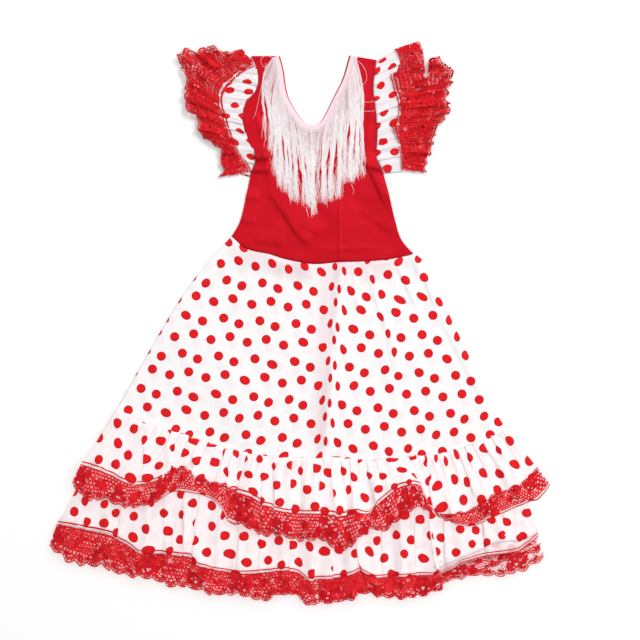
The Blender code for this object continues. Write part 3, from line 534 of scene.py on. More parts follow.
class Nodes:
    """Short names for building a material's or the world's nodes. Values are sockets or constants."""

    def __init__(self, owner, shader, **looks):
        owner.use_nodes = True
        self.owner, self.tree = owner, owner.node_tree
        self.shader = self.tree.nodes[shader]
        self.feed(self.shader, {key.replace("_", " "): value for key, value in looks.items()})

    def feed(self, node, values):
        """Gives a node's inputs their values."""
        for key, value in dict(values).items():
            if isinstance(value, bpy.types.NodeSocket):
                self.tree.links.new(value, node.inputs[key])
            else:
                node.inputs[key].default_value = value

    def add(self, kind, values=(), **settings):
        """The outputs of a new node, from its inputs' values and its settings."""
        node = self.tree.nodes.new("ShaderNode" + kind)
        for key, value in settings.items():
            setattr(node, key, value)
        self.feed(node, values)
        return node.outputs

    def number(self, operation, *values):
        return self.add("Math", enumerate(values), operation=operation)[0]

    def vector(self, operation, *values):
        outputs = self.add("VectorMath", enumerate(values), operation=operation)
        return outputs["Value" if operation in ("LENGTH", "DOT_PRODUCT") else "Vector"]

    def along(self, vector, rows):
        """A vector's parts along two directions, as a vector."""
        parts = (self.vector("DOT_PRODUCT", vector, (*row, 0)) for row in rows)
        return self.add("CombineXYZ", enumerate(parts))[0]

    def smooth(self, value, low, high):
        """A smooth step of a value between two limits."""
        values = {"Value": value, "From Min": low, "From Max": high}
        return self.add("MapRange", values, interpolation_type="SMOOTHSTEP")[0]

    def mix(self, share, first, second, strength=None):
        """A mix of two colours, by a share or a part of it."""
        if strength:
            share = self.number("MULTIPLY", share, strength)
        colours = (c if isinstance(c, bpy.types.NodeSocket) else (*c, 1) for c in (first, second))
        return self.add("Mix", zip((0, 6, 7), (share, *colours)), data_type="RGBA")[2]

    def noise(self, place, scale):
        return self.add("TexNoise", {"Vector": place, "Scale": scale, "Detail": 3.0})["Fac"]

    def cloud(self, place, scale, low, high):
        return self.smooth(self.noise(place, scale), low, high)

    def place(self):
        """The place on the cloth, in millimetres."""
        return self.vector("MULTIPLY", self.add("UVMap", uv_map="cloth")[0], (1 / MM,) * 3)

    def tone(self):
        return self.add("Attribute", attribute_name="tone")["Fac"]

    def waves(self, place, axis, length):
        """Waves of a length along one axis of the cloth, from -1 to 1."""
        part = self.add("SeparateXYZ", {0: place})[axis]
        return self.number("SINE", self.number("MULTIPLY", part, math.tau / length))

    def weave(self, place, pitch):
        """Height of a plain weave of threads pitch apart."""
        return self.number("MULTIPLY", *(self.waves(place, axis, 2 * pitch) for axis in (0, 1)))

    def finish(self, colour, height, distance, strength):
        """The finished material, with its colour and its bumps."""
        bump = self.add("Bump", {"Strength": strength, "Distance": distance, "Height": height})[0]
        self.feed(self.shader, {"Base Color": colour, "Normal": bump})
        return self.owner


def surface(name, colour, roughness, gloss=0.12, tint=(1, 1, 1), sheen=0.0, sheen_tint=(1, 1, 1)):
    """The nodes of a new material."""
    n = Nodes(bpy.data.materials.new(name), "Principled BSDF", Base_Color=(*colour, 1), Roughness=roughness)
    n.feed(n.shader, {"Specular IOR Level": gloss, "Specular Tint": (*tint, 1)})
    n.feed(n.shader, {"Sheen Weight": sheen, "Sheen Tint": (*sheen_tint, 1)})
    return n


def dot_distance(n, place):
    """Distance from a place on the cloth to the nearest printed dot's middle."""
    cell = np.array([CELL_A, CELL_B]).T
    shares = n.along(place, np.linalg.inv(cell))
    nearest = None
    for along_a, along_b in DOTS:
        moved = n.vector("SUBTRACT", shares, (along_a - 0.5, along_b - 0.5, 0))
        inside = n.vector("SUBTRACT", n.vector("FRACTION", moved), (0.5, 0.5, 0))
        length = n.vector("LENGTH", n.along(inside, cell))
        nearest = length if nearest is None else n.number("MINIMUM", nearest, length)
    return nearest


def dotted_cloth(name, white, shift=(0.0, 0.0), back_shift=(22.0, 17.0), strength=1.0, painted_shade=False):
    """White cloth printed with red dots, with the other layer's dots showing faintly through it."""
    n = surface(name, white, 0.72)
    place = n.place()
    start = np.add(DOT_START, shift)
    front, behind = (
        dot_distance(n, n.vector("SUBTRACT", place, (*first, 0))) for first in (start, start + back_shift)
    )
    front = n.number("ADD", front, n.number("MULTIPLY", n.noise(place, 0.35), 0.5))
    radius = DOT_DIAMETER / 2
    ground = n.mix(n.smooth(behind, radius + 1.4, radius - 1.4), white, SHOW_THROUGH, 0.36)
    ground = n.mix(n.cloud(place, 0.02, 0.35, 0.7), ground, (0.80, 0.73, 0.76), 0.14)
    # With painted_shade, the mesh's tone mixes a pinkish grey painted shade into the ground.
    if painted_shade:
        ground = n.mix(n.tone(), ground, (0.81, 0.65, 0.68))
    ink = n.mix(n.cloud(place, 0.16, 0.35, 0.7), DOT_RED, (0.66, 0.006, 0.010))
    ink = n.mix(n.smooth(front, DOT_DIAMETER * 0.32, DOT_DIAMETER * 0.47), ink, (0.44, 0.004, 0.009), 0.55)
    colour = n.mix(n.smooth(front, radius + 0.55, radius - 0.05), ground, ink, strength)
    return n.finish(colour, n.weave(place, 0.5), 0.00006, 0.35)


def red_satin(name):
    """Red stretch satin, with a soft shine and a fine twill."""
    n = surface(name, RED_SATIN, 0.42, 0.75, (1.0, 0.05, 0.09), 0.08, (1.0, 0.06, 0.10))
    place = n.place()
    cloud = n.cloud(place, 0.018, 0.3, 0.75)
    colour = n.mix(cloud, (0.47, 0.0045, 0.011), (0.55, 0.0065, 0.015))
    colour = n.mix(n.noise(place, 0.9), colour, (0.58, 0.009, 0.019), 0.25)
    n.feed(n.shader, {"Roughness": n.number("ADD", n.number("MULTIPLY", cloud, 0.10), 0.40)})
    return n.finish(colour, n.weave(place, 0.35), 0.00004, 0.3)


def red_lace(name):
    """Red lace thread: painted shade where dense, painted light in the net, pale specks of painted light."""
    n = surface(name, LACE_RED, 0.62, 0.3, (1.0, 0.10, 0.13), 0.08, (1.0, 0.12, 0.15))
    place, tone = n.place(), n.tone()
    cloud = n.cloud(place, 0.09, 0.3, 0.7)
    # The tone picks painted shade for the dense cells and painted light for the open net.
    dense = n.mix(cloud, (0.44, 0.004, 0.010), (0.68, 0.009, 0.016))
    net = n.mix(cloud, (0.84, 0.022, 0.030), (0.95, 0.040, 0.050))
    colour = n.mix(n.number("MINIMUM", tone, 1.0), dense, net)
    colour = n.mix(n.cloud(place, 0.42, 0.40, 0.62), colour, (0.30, 0.002, 0.006), 0.55)
    colour = n.mix(n.cloud(place, 0.8, 0.45, 0.70), colour, (0.92, 0.035, 0.042), 0.4)
    # Cells with a tone past 1.3 are painted pale: painted light showing through the lace.
    colour = n.mix(n.smooth(tone, 1.3, 1.6), colour, (0.92, 0.27, 0.30))
    return n.finish(colour, n.noise(place, 1.6), 0.0003, 0.5)


def white_thread(name):
    """Pale shiny thread, twisted, and darker below the ribbon, a painted shade."""
    n = surface(name, THREAD_WHITE, 0.42, 0.5, sheen=0.2)
    place = n.place()
    colour = n.mix(n.cloud(place, 0.05, 0.3, 0.7), THREAD_WHITE, (0.95, 0.865, 0.885))
    # Painted shade: darker and pinker near the root, under the ribbon.
    colour = n.mix(n.smooth(n.tone(), 0.05, 0.45), (0.88, 0.765, 0.80), colour)
    return n.finish(colour, n.weave(place, 0.6), 0.0001, 0.4)


def ribbon(name):
    """The pale ribbon that heads the fringe, ribbed across, with painted light and shade on its ribs."""
    n = surface(name, BAND_PINK, 0.55)
    ribs = n.waves(n.place(), 0, 1.3)
    # The ribs' crests are painted lighter and their grooves darker: painted light and shade.
    return n.finish(n.mix(n.smooth(ribs, -1.0, 1.0), (0.92, 0.60, 0.66), (0.96, 0.76, 0.80)), ribs, 0.0002, 0.6)


def floor_white(name):
    """A plain pale floor."""
    n = surface(name, FLOOR_WHITE, 0.9)
    soft = n.noise(n.add("TexCoord")["Object"], 1.5)
    n.feed(n.shader, {"Base Color": n.mix(soft, FLOOR_WHITE, (0.97, 0.97, 0.972))})
    return n.owner


DOTTED = dotted_cloth("dotted_white_cloth", CLOTH_WHITE, painted_shade=True)
DOTTED_UPPER = dotted_cloth("dotted_white_ruffle_painted_bounce", RUFFLE_WHITE_PAINTED_BOUNCE, (9.0, 21.0), (15.0, 25.0))
DOTTED_LOWER = dotted_cloth("dotted_white_hem_ruffle_painted_bounce", RUFFLE_WHITE_PAINTED_BOUNCE, (31.0, 5.0), (27.0, 12.0))
DOTTED_SLEEVE = dotted_cloth("dotted_white_sleeve_painted_shade", SLEEVE_WHITE_PAINTED_SHADE, (0.0, 0.0), (20.0, 20.0))
INSIDE = dotted_cloth("dotted_white_wrong_side", WRONG_SIDE, (17.0, 9.0), (20.0, 20.0), 0.30)
SATIN = red_satin("red_stretch_satin")
LACE = red_lace("red_lace_thread")
THREAD = white_thread("white_fringe_thread")
RIBBON = ribbon("pale_ribbon")


def put(piece, node, material, outside=None):
    """The piece rides on the dress, replaces a solid and takes its finish.

    A back's own finish is its wrong side, which looks up; the other one is its printed outside.
    """
    piece.data.materials.append(material)
    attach(piece, "root")
    if node:
        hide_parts(node)
    if outside:
        piece.data.materials.append(outside)
        piece.modifiers["cloth"].material_offset = 1


# ---------------------------------------------------------------- bodice

CENTRE_SHARE = 14 / 32  # of the waist, left of the V


def bodice_half(left_half, neck_shift, columns, arm_rows, side_rows, neck_rows):
    """Places of one half of the bodice, from the shoulder down to the waist."""
    arm, seam, neck = (ARM_LEFT, SIDE_LEFT, NECK_LEFT) if left_half else (ARM_RIGHT, SIDE_RIGHT, NECK_RIGHT)
    flank = np.concatenate([rounded(arm, spaced(arm_rows)), rounded(seam, spaced(side_rows))[1:]])
    shares = np.linspace(*((0, CENTRE_SHARE) if left_half else (CENTRE_SHARE, 1)), columns + 1)
    bottom = across(WAIST, shares) + np.array([0, 0.3])
    outer, centre = (bottom[0], bottom[-1]) if left_half else (bottom[-1], bottom[0])
    flank[-1] = outer
    border = rounded(neck, spaced(neck_rows))
    below = np.linspace(border[-1], centre, arm_rows + side_rows - neck_rows + 1)
    border[:, 0] += neck_shift * (1 if left_half else -1) * np.linspace(1, 0, neck_rows + 1)
    middle = np.concatenate([border, below[1:]])
    left, right = (flank, middle) if left_half else (middle, flank)
    return patch(np.linspace(left[0], right[0], columns + 1), bottom, left, right)


def bodice_sheet(name, neck_shift, height, detail):
    """Both halves of the bodice as one sheet, joined on the centre line below the V."""
    points, plans, faces, start = [], [], [], 0
    for left_half, columns in ((True, 14), (False, 18)):
        plan = bodice_half(left_half, neck_shift, *(detail * count for count in (columns, 12, 6, 7)))
        points.append(with_height(plan, height).reshape(-1, 3))
        plans.append(plan.reshape(-1, 2))
        faces.append(grid_faces(*plan.shape[:2], start))
        start += len(points[-1])
    points, faces = np.concatenate(points), np.concatenate(faces)
    piece = mesh_object(name, points, facing_up(points, faces), np.concatenate(plans))
    piece.modifiers.new("centre", "WELD").merge_threshold = 0.05 * MM
    add_thickness(piece)
    return piece


def bodice_height(x, y):
    """Middle of the bodice's front: its creases, and a soft unevenness that dies out under the fringe."""
    under_fringe = ease((y - 175) / 60) * ease((78 - np.abs(x - 20)) / 22)
    soft = 0.7 * wobble(x, y, 70, 11) + 0.35 * wobble(x, y, 28, 12)
    folds = creases(x, y, BODICE_CREASES, one_sided=True)[0]
    return FRONT + (folds + soft) * (1 - under_fringe) - 0.5 * ease((below_waist(x, y) + 7) / 7)


def build_bodice():
    """The bodice's front and back."""
    front = bodice_sheet("bodice_front_satin", 0.0, bodice_height, 6)
    put(front, "bodice_front", SATIN)
    back = bodice_sheet("bodice_back_satin", 1.4, HALF_WALL, 3)
    put(back, "bodice_back", SATIN)


# ---------------------------------------------------------------- skirt

# Where the skirt's print keeps its place, and round which x the waist draws it together.
PRINT_ANCHOR, WAIST_MIDDLE = -135.0, -40.0


def skirt_plan(bottom, left, right, columns, rows):
    """Places of a skirt panel below the waist."""
    upper, lower = (across(line, spaced(columns)) for line in (WAIST, bottom))
    west, east = (rounded(line, spaced(rows)) for line in (left, right))
    west[0], west[-1], east[0], east[-1] = upper[0], lower[0], upper[-1], lower[-1]
    return patch(upper, lower, west, east)


def skirt_cloth(points, plan):
    """Places on the skirt's cloth: the plan's, moved by what folds, steep stretches and gathers take up."""
    x, y = plan[..., 0], plan[..., 1]
    uv = plan.copy()
    for row, taken in enumerate(step_along(points) - step_along(with_height(plan, 0.0))):
        uv[row, :, 0] += taken - np.interp(PRINT_ANCHOR, x[row], taken)
    for row in SKIRT_STEEP:
        share, off, _ = beside_line(x, y, row)
        inside = np.clip(off / row[5], -1, 1)
        fade = near_ends(share, 6, 0.5)
        uv[..., 0] += row[4] * 0.5 * (inside + np.sin(math.pi * inside) / math.pi) * fade
        uv[..., 1] -= row[6] * hump(inside) * fade
    uv[..., 0] += (x - WAIST_MIDDLE) * 0.12 * (1 - clamp(below_waist(x, y) / 80.0))
    return uv


def painted_skirt_shade(x, y):
    """How much shade is painted on the skirt's front, under the waist and along its folds."""
    middle = ease((x - WAIST[0][0] + 20) / 60) * ease((WAIST[-1][0] + 10 - x) / 50)
    # Painted shade just under the waist seam, fading out downwards.
    shade = 0.95 * (1 - ease((below_waist(x, y) + 8) / 52.0)) * middle * (1 + 0.25 * wobble(x, y, 60, 17))
    for row in SKIRT_PAINTED_SHADES:
        share, off, _ = beside_line(x, y, row)
        shade = shade + row[4] * hump(off / row[5]) * near_ends(share, 5, 0.3)
    return clamp(shade)


def build_skirt():
    """The skirt's front and back."""
    plan = skirt_plan(HIDDEN_SEAM, SKIRT_LEFT, SKIRT_RIGHT, 230, 110)
    x, y = plan[..., 0], plan[..., 1]
    solid = with_height(plan, skirt_height)
    edge = near_ends(spaced(230), 30)
    solid[..., 0] += creases(x, y, SKIRT_CREASES)[1] * edge
    solid[..., 2] -= 1.1 * (1 - edge)
    # The tone carries the painted shade into the cloth's colour.
    front = cloth_grid("skirt_front_cloth", solid, skirt_cloth(solid, plan), tone=painted_skirt_shade(x, y))
    put(front, "skirt_front", DOTTED)

    low_seam = [(x, y - HIDDEN_SEAM_DROP) for x, y in BACK_GATHER_SEAM]
    left = [(x + 2, y) for x, y in SKIRT_LEFT[:-1]] + [low_seam[0]]
    right = [(x - 2, y) for x, y in SKIRT_RIGHT[:-1]] + [low_seam[-1]]
    plan = skirt_plan(low_seam, left, right, 90, 60)
    back = cloth_grid("skirt_back_cloth", with_height(plan, back_middle), plan)
    put(back, "skirt_back", INSIDE, DOTTED)


# ---------------------------------------------------------------- ruffles and their lace

# The lace's width at the hollows between its scallops, how far their tips reach past it, and its header.
LACE_WIDTH, LACE_REACH, HEADER = 42.0, 1.11, 5.4
# Lengths of its pattern and of a scallop, the holes of its open net, and the holes that count as filled.
REPEAT, SCALLOP, OPEN_NET, FILLED_BELOW = 76.0, 20.0, 0.73, 0.5
HEX_AREA = 0.866  # of a cell, for a pitch of 1
# Depth of the scallops and of the dense rim above them, and the cords' steps and half width.
SCALLOP_DEPTH, RIM, CORD_STEP, CORD = 4.2, 5.2, 1.8, 0.85
# The least share of its flat area that a net may be said to have.
LEAST_SHARE = 0.31
# Where along the hem the lower lace is doubled by the back's, where its net is open, and the inside shows.
DOUBLED, OPENED, INSIDE_FROM = 30, 224, 200
# Height of the ruffles' gathers, and how much their print is drawn together at the seam.
GATHERED, SEAM_SHARE = 1.2, 0.8


def evened(points, reach):
    """Points of a row, each the mean of those near it."""
    near = np.ones(2 * reach + 1) / (2 * reach + 1)
    padded = np.pad(points, ((reach, reach), (0, 0)), mode="edge")
    return np.stack([np.convolve(padded[:, i], near, mode="valid") for i in (0, 1)], -1)


def skew(top, bottom):
    """How far a strip's lower edge runs along it from its upper edge, and how deep it is square to its run."""
    fall = evened(bottom - top, 16)
    run = unit(evened(np.gradient(top + bottom, axis=0), 30))
    return (fall * run).sum(1), np.abs(fall[:, 0] * run[:, 1] - fall[:, 1] * run[:, 0])


class Ruffle:
    """A gathered ruffle: its seam, hem and folds, and the lace on its hem."""

    def __init__(self, **parts):
        self.__dict__.update(parts)

    def turned(self, side):
        """Share by which the lace is turned up: 0 hangs down, 1 lies on the ruffle."""
        return eased_column(self.turns, 1, width_place(self.folds, side))

    def hem(self, side, turned):
        """Places of the lace's header and of its free edge."""
        x, y = np.moveaxis(across(self.folds, side), -1, 0)
        half = curved_column(self.folds, 2, x) / 2
        outward = 2 * np.asarray(side) - 1
        spread = np.where(outward > 0, self.flare[1], self.flare[0]) * outward**3
        swing = np.cos(math.pi * turned)
        return [np.stack([x + spread * 0.5 * (1 - s), y - half + half * s], -1) for s in (swing, -swing)]

    def settled(self, side, down, plan):
        """Points over the plan's places, with waves, gathers and folds that lean over sideways."""
        waves = self.wave(side, down)
        lean = curved_column(self.folds, 4, width_place(self.folds, side)) * ease(down * 1.3)
        fade = (1 - clamp(down * 1.1)) ** 1.2
        gather = GATHERED * (1 - np.cos(gather_phase(side, self.gathers, self.seed))) * fade
        small = 0.5 * (1 - np.cos(gather_phase(side, self.gathers * 2.3, self.seed + 3))) * fade
        flutter = 0.8 * np.sin(side * 233 + self.seed) * ease(down * 2 - 1)
        folds, over = creases(plan[..., 0], plan[..., 1], self.creases)
        grown = 0.25 + 0.75 * ease(down * 1.5)
        sideways = lean * (waves - 6.0 * ease(down)) + 0.78 * over * grown
        sideways = sideways + 1.3 * lean_of_gathers(side, self.seed) * (gather - GATHERED * fade)
        moved = plan + np.stack([sideways * near_ends(side, 14), 0 * sideways], -1)
        height = waves + gather + small + flutter + 0.82 * folds * grown
        return with_height(moved, self.lift(moved[..., 0], moved[..., 1]) + height)

    def sheet(self, name, columns=560, rows=26):
        """The ruffle's cloth, down to the far side of the lace's header, and its width and depth laid flat."""
        side, down = np.meshgrid(spaced(columns), spaced(rows))
        top = across(self.seam, side)
        top[..., 1] += 0.9 * np.sin(side * 190 + self.seed) + 0.7 * np.sin(side * 83)
        turned = self.turned(side)
        bottom = self.hem(side, turned)[0]
        bottom[..., 1] += eased_column(self.drawn_up, 1, bottom[..., 0]) - (HEADER + 1.5) * (1 - turned)
        solid = self.settled(side, down, top + (bottom - top) * down[..., None])
        solid[0, :, 2] -= 1.2
        taken = np.linalg.norm(np.diff(solid, axis=1), axis=-1)
        taken = 0.5 * taken[rows // 5 :].mean(0) + 0.5 * taken[rows // 2 :].mean(0)
        along = np.concatenate([[0.0], np.cumsum(taken)])
        drift, deep = skew(solid[0, :, :2], solid[-1, :, :2])
        steep = 0.5 + 0.5 * np.sin(gather_phase(side, self.gathers, self.seed))
        own = np.cumsum(1 + 2.2 * steep**4, axis=1)
        own = (own - own[:, :1]) * along[-1] / (own[:, -1:] - own[:, :1])
        along_print = blend(along, own, SEAM_SHARE * (1 - down) ** 1.5) + drift * (down - 0.55)
        uv = np.stack([along_print, -down * (deep + deep.mean()) / 2], -1)
        return cloth_grid(name, solid, uv), along[-1], deep.mean()

    def lace_place(self, turned, lifted=0.0):
        """A function that gives the lace's points from places along and down it laid flat."""

        def place(along, drop, length, width):
            side, share = along / length, drop / width
            up = self.turned(side) if turned is None else np.full_like(side, turned)
            header, free = self.hem(side, up)
            plan = header + (free - header) * (LACE_REACH * share)[..., None]
            top = across(self.seam, side)
            down = clamp((top[..., 1] - plan[..., 1]) / np.maximum(top[..., 1] - header[..., 1], 1.0))
            points = self.settled(side, down, plan)
            frill = 0.35 + 0.65 * share
            phase = along / 3.3 + 1.5 * np.sin(along / 17.0) + self.seed
            points[..., 0] += frill * 1.1 * np.sin(phase + 1.2)
            points[..., 1] += 0.8 * share * np.sin(along / 5.1 + self.seed)
            fine = 0.7 * (1 + np.sin(along / 1.7 + 2 * self.seed))
            points[..., 2] += frill * (1.1 * (1 + np.sin(phase)) + fine)
            points[..., 2] += 8.0 * np.sin(math.pi * up) * share * (1.3 - share) + 0.7 + lifted
            return points

        return place


UPPER = Ruffle(
    seam=GATHER_SEAM,
    folds=UPPER_FOLDS,
    creases=UPPER_CREASES,
    turns=UPPER_TURNS,
    flare=UPPER_LACE_FLARE,
    seed=1.0,
    lift=under_upper,
    wave=upper_wave,
    gathers=44,
    drawn_up=LEVEL,
)
LOWER = Ruffle(
    seam=HIDDEN_SEAM,
    folds=LOWER_FOLDS,
    creases=LOWER_CREASES,
    turns=LEVEL,
    flare=LOWER_LACE_FLARE,
    seed=5.0,
    lift=skirt_height,
    wave=lower_wave,
    gathers=30,
    drawn_up=LOWER_RAISED,
)


def free_edge(along, width):
    """How far down the lace's free edge lies, with a row of rounded scallops."""
    scallops = SCALLOP_DEPTH * (1 - np.abs(np.sin(math.pi * along / SCALLOP)))
    return width - 1.0 - 0.05 * width * (1 + np.cos(math.tau * along / REPEAT)) - scallops


def flower(x, y, radius, petals, turned):
    """Whether places are in a flower, clear of its eye and veins."""
    away = np.hypot(x, y)
    wave = np.abs(np.cos(np.arctan2(y, x) * petals / 2 + turned))
    vein = (wave < 0.16) & (away > radius * 0.34)
    return (away < radius * (0.70 + 0.30 * wave)) & (away > radius * 0.12) & ~vein


def lace_pattern(along, drop, width):
    """How open the lace is: from 0 for filled to 1, and below 0 at its header and beyond its edge."""
    edge = free_edge(along, width)
    across_cell = (along / REPEAT + 0.5) % 1.0 * REPEAT - REPEAT / 2
    beside_cell = (along / REPEAT) % 1.0 * REPEAT - REPEAT / 2
    small = np.round(along / REPEAT) % 2
    filled = flower(across_cell, drop - width * (0.57 + 0.06 * small), width * (0.47 - 0.17 * small), 6, 0.3)
    filled |= flower(beside_cell, drop - width * 0.45, width * 0.15, 5, 0.9)
    filled |= np.hypot((np.abs(across_cell) - REPEAT * 0.36) / 5.0, (drop - width * 0.76) / 2.4) < 1
    hole = np.where(filled, 0.10, OPEN_NET)
    hole = np.where(drop > edge - RIM, 0.42, hole)
    return np.where((drop < HEADER + 0.8) | (drop > edge - 1.0), -1.0, hole)


def lace_cells(start, end, width, pitch, fine, closed, rim, rng):
    """Corners u, w of the six-sided cells of a stretch of lace, and how open each cell is."""
    row_step = pitch * math.sqrt(3) / 2
    rows, columns = int(width / row_step) + 1, int((end - start) / pitch)
    j, i = np.indices((rows, columns))
    along = (start + (i + 0.5 * (j % 2) + 0.25) * pitch).ravel()
    drop = ((j + 0.5) * row_step).ravel()
    hole = lace_pattern(along, drop, width)
    keep = (along < end) & (drop < width) & (hole >= 0) & ((hole < FILLED_BELOW) == fine)
    along, drop, hole = along[keep], drop[keep], hole[keep]
    shut = closed * (1 - rim * ease((drop / width - 0.5) / 0.4))
    hole = np.clip(hole * (1 - shut) * rng.uniform(0.80, 1.12, len(hole)), 0.0, 0.9)
    corner = np.arange(6) * math.pi / 3 + math.pi / 6
    reach = pitch / math.sqrt(3) * 1.02 * np.stack([np.ones_like(hole), hole], -1)[..., None]
    u = np.clip(along[:, None, None] + reach * np.cos(corner), start, end)
    w = np.clip(drop[:, None, None] + reach * np.sin(corner), 0, width + 2)
    return u, w, hole


def lace_cords(along, width, header):
    """How far down the lace's cords run, and half their widths: the header's, a wavy one, and the scallops'."""
    edge, level = free_edge(along, width), 0 * along
    vine = width * 0.36 + width * 0.07 * np.cos(math.tau * along / (REPEAT / 2))
    return (0.6 + level, header), (HEADER + level, header), (vine, CORD), (edge - RIM, CORD), (edge, CORD)


def outside_gap(points, faces, gap):
    """The points and faces that are clear of a three-cornered gap, and which points they are."""
    corners = np.array(gap)
    inside = np.ones(len(points), bool)
    for a, b in zip(corners, np.roll(corners, -1, axis=0)):
        inside &= (b[0] - a[0]) * (points[:, 1] - a[1]) > (b[1] - a[1]) * (points[:, 0] - a[0])
    used, faces = np.unique(faces[~inside[faces].any(axis=1)], return_inverse=True)
    return points[used], faces.reshape(-1, 4), used


def lace_mesh(name, spans, length, width, pitch, seed, rim=0.0, header=CORD, gap=()):
    """Lace in one or more stretches, and the share of its area that is thread.

    It is a net of six-sided cells, flowers of smaller filled ones, and cords.
    """
    rng = np.random.default_rng(seed)
    points, uv, faces, tone, thread, start = [], [], [], [], [], 0

    def keep(solid, u, w, new_faces, shade):
        points.append(solid.reshape(-1, 3))
        uv.append(np.stack([u, w], -1).reshape(-1, 2))
        faces.append(new_faces)
        tone.append(shade)
        return start + u.size

    for begin, end, place, closed in spans:
        # Tone paints light on the open net, shade on the fine dense cells, and pale specks of light (1.8).
        pale = 0.022 if closed > 0.4 else 0.01
        for size, shade in ((pitch, 0.9), (pitch / 2, 0.30 if rim else 0.05)):
            fine = size < pitch
            u, w, hole = lace_cells(begin * length, end * length, width, size, fine, closed, rim, rng)
            solid = place(u, w, length, width)
            solid[:, 1, :, 2] += 0.12
            index = np.arange(u.size).reshape(u.shape) + start
            ahead = np.roll(index, -1, axis=2)
            thread.append((1 - hole**2) * size * size)
            shade = shade * rng.uniform(0.6, 1.1, len(u))
            shade = np.where(rng.uniform(0, 1, len(u)) < pale, 1.8, shade).repeat(12)
            start = keep(solid, u, w, quads((index[:, 0], index[:, 1]), (ahead[:, 0], ahead[:, 1])), shade)
        steps = int((end - begin) * length / CORD_STEP) + 2
        run = np.linspace(begin, end, steps) * length
        for down, half in lace_cords(run, width, header):
            w = down + np.array([-half, 0.0, half])[:, None]
            u = np.broadcast_to(run, w.shape)
            cord = place(u, w, length, width)
            cord[..., 2] += np.array([0.2, 0.7, 0.2])[:, None]
            start = keep(cord, u, w, grid_faces(3, steps, start), np.full(u.size, 0.3))
    points, uv, tone = (np.concatenate(part) for part in (points, uv, tone))
    faces = facing_up(points, np.concatenate(faces))
    if gap:
        points, faces, used = outside_gap(points, faces, gap)
        uv, tone = uv[used], tone[used]
    share = np.concatenate(thread).sum() * HEX_AREA / (length * width)
    return mesh_object(name, points, faces, uv, tone), float(min(max(share, LEAST_SHARE), 1.0))


def build_ruffles():
    """Both ruffles and their lace, in front."""
    ends = [share_at(UPPER_FOLDS, x) for x in (-204, -219, -96, -116, 186, 222)]
    following = UPPER.lace_place(None)
    upper_spans = [
        (0, ends[0], UPPER.lace_place(0.0), 0.36),
        (ends[3], ends[4], following, 0.36),
        (ends[4], ends[5], following, 0.85),
        (ends[5], 1, following, 0.42),
        (ends[1], ends[2], UPPER.lace_place(1.0, 1.6), 0.36),
    ]
    hanging = LOWER.lace_place(0.0)
    doubled, opened = (share_at(LOWER_FOLDS, x) for x in (DOUBLED, OPENED))
    lower_spans = [(0, doubled, hanging, 0.33), (doubled, opened, hanging, 0.66), (opened, 1, hanging, -0.18)]
    for ruffle, label, material, spans in (
        (UPPER, "upper", DOTTED_UPPER, upper_spans),
        (LOWER, "lower", DOTTED_LOWER, lower_spans),
    ):
        cloth, width, depth = ruffle.sheet(f"{label}_ruffle_front_cloth")
        put(cloth, f"{label}_ruffle_front", material)
        lace, net = lace_mesh(f"{label}_lace_front_net", spans, width, LACE_WIDTH, 5.2, 21)
        put(lace, f"{label}_lace_front", LACE)
        cloth.visible_shadow = lace.visible_shadow = False


def build_inside():
    """The inside of the lower ruffle's back, which shows between the drawn-up hem and the lace."""
    first = share_at(LOWER_FOLDS, INSIDE_FROM)
    side, down = np.meshgrid(np.linspace(first, 1, 91), spaced(8))
    top = LOWER.hem(side, 0.0)[0]
    drawn_up = eased_column(LOWER_RAISED, 1, top[..., 0])
    plan = top + np.stack([0 * drawn_up, (drawn_up + 5.0) * (1 - down) - (HEADER + 1.0) * down], -1)
    solid = LOWER.settled(side, np.ones_like(side), plan)
    solid[..., 2] -= 1.3
    strip = cloth_grid("lower_ruffle_front_inside", solid, plan)
    put(strip, "lower_ruffle_front", INSIDE)


def build_backs():
    """The ruffles' backs and their lace, which lie under the skirt."""
    low_seam = [(x, y - HIDDEN_SEAM_DROP - 0.5) for x, y in BACK_GATHER_SEAM]
    opened = share_at(BACK_LOWER_HEM, OPENED)
    upper = (BACK_GATHER_SEAM, BACK_UPPER_HEM, BACK_UPPER_LACE, HALF_WALL, 0.075, DOTTED_UPPER, 5.6)
    lower = (low_seam, BACK_LOWER_HEM, BACK_LOWER_LACE, back_middle, 0.165, DOTTED_LOWER, 5.0)
    for label, parts, nets in (
        ("upper", upper, [(0, 1.0, 0.1)]),
        ("lower", lower, [(0, opened, 0.1), (opened, 1, -0.18)]),
    ):
        seam, hem, edge, height, deep, material, pitch = parts
        side, down = np.meshgrid(spaced(120), spaced(40))
        plan = blend(across(seam, side), across(hem, side), down[..., None])
        cloth = cloth_grid(f"{label}_ruffle_back_cloth", with_height(plan, height), plan)
        put(cloth, f"{label}_ruffle_back", INSIDE, material)
        width = hem[-1][0] - hem[0][0]

        def place(along, drop, length, lace_width):
            ends = (across(line, along / length) for line in (hem, edge))
            return with_height(blend(*ends, drop[..., None] / lace_width), height)

        spans = [(begin, end, place, closed) for begin, end, closed in nets]
        lace, net = lace_mesh(f"{label}_lace_back_net", spans, width, LACE_WIDTH, pitch, 31)
        put(lace, f"{label}_lace_back", LACE)
        lace.visible_shadow = False


# ---------------------------------------------------------------- sleeves

SLEEVE_LACE_LENGTH, SLEEVE_LACE_WIDTH = 330.0, 56.0
# The strips are cut along the print, so that one staggered row of dots, this far over, runs down each.
ROW_OF_DOTS = 32.9
# The share of the sleeves' lace, from the shoulder, whose net is more open.
LIGHT_SHARE = 0.38


def pleats(down, count, phase):
    """Gathers along a sleeve, from 0 to 1, that die out at its ends."""
    return (1 - np.cos(gather_phase(down, count, phase))) / 2 * near_ends(down, 8)


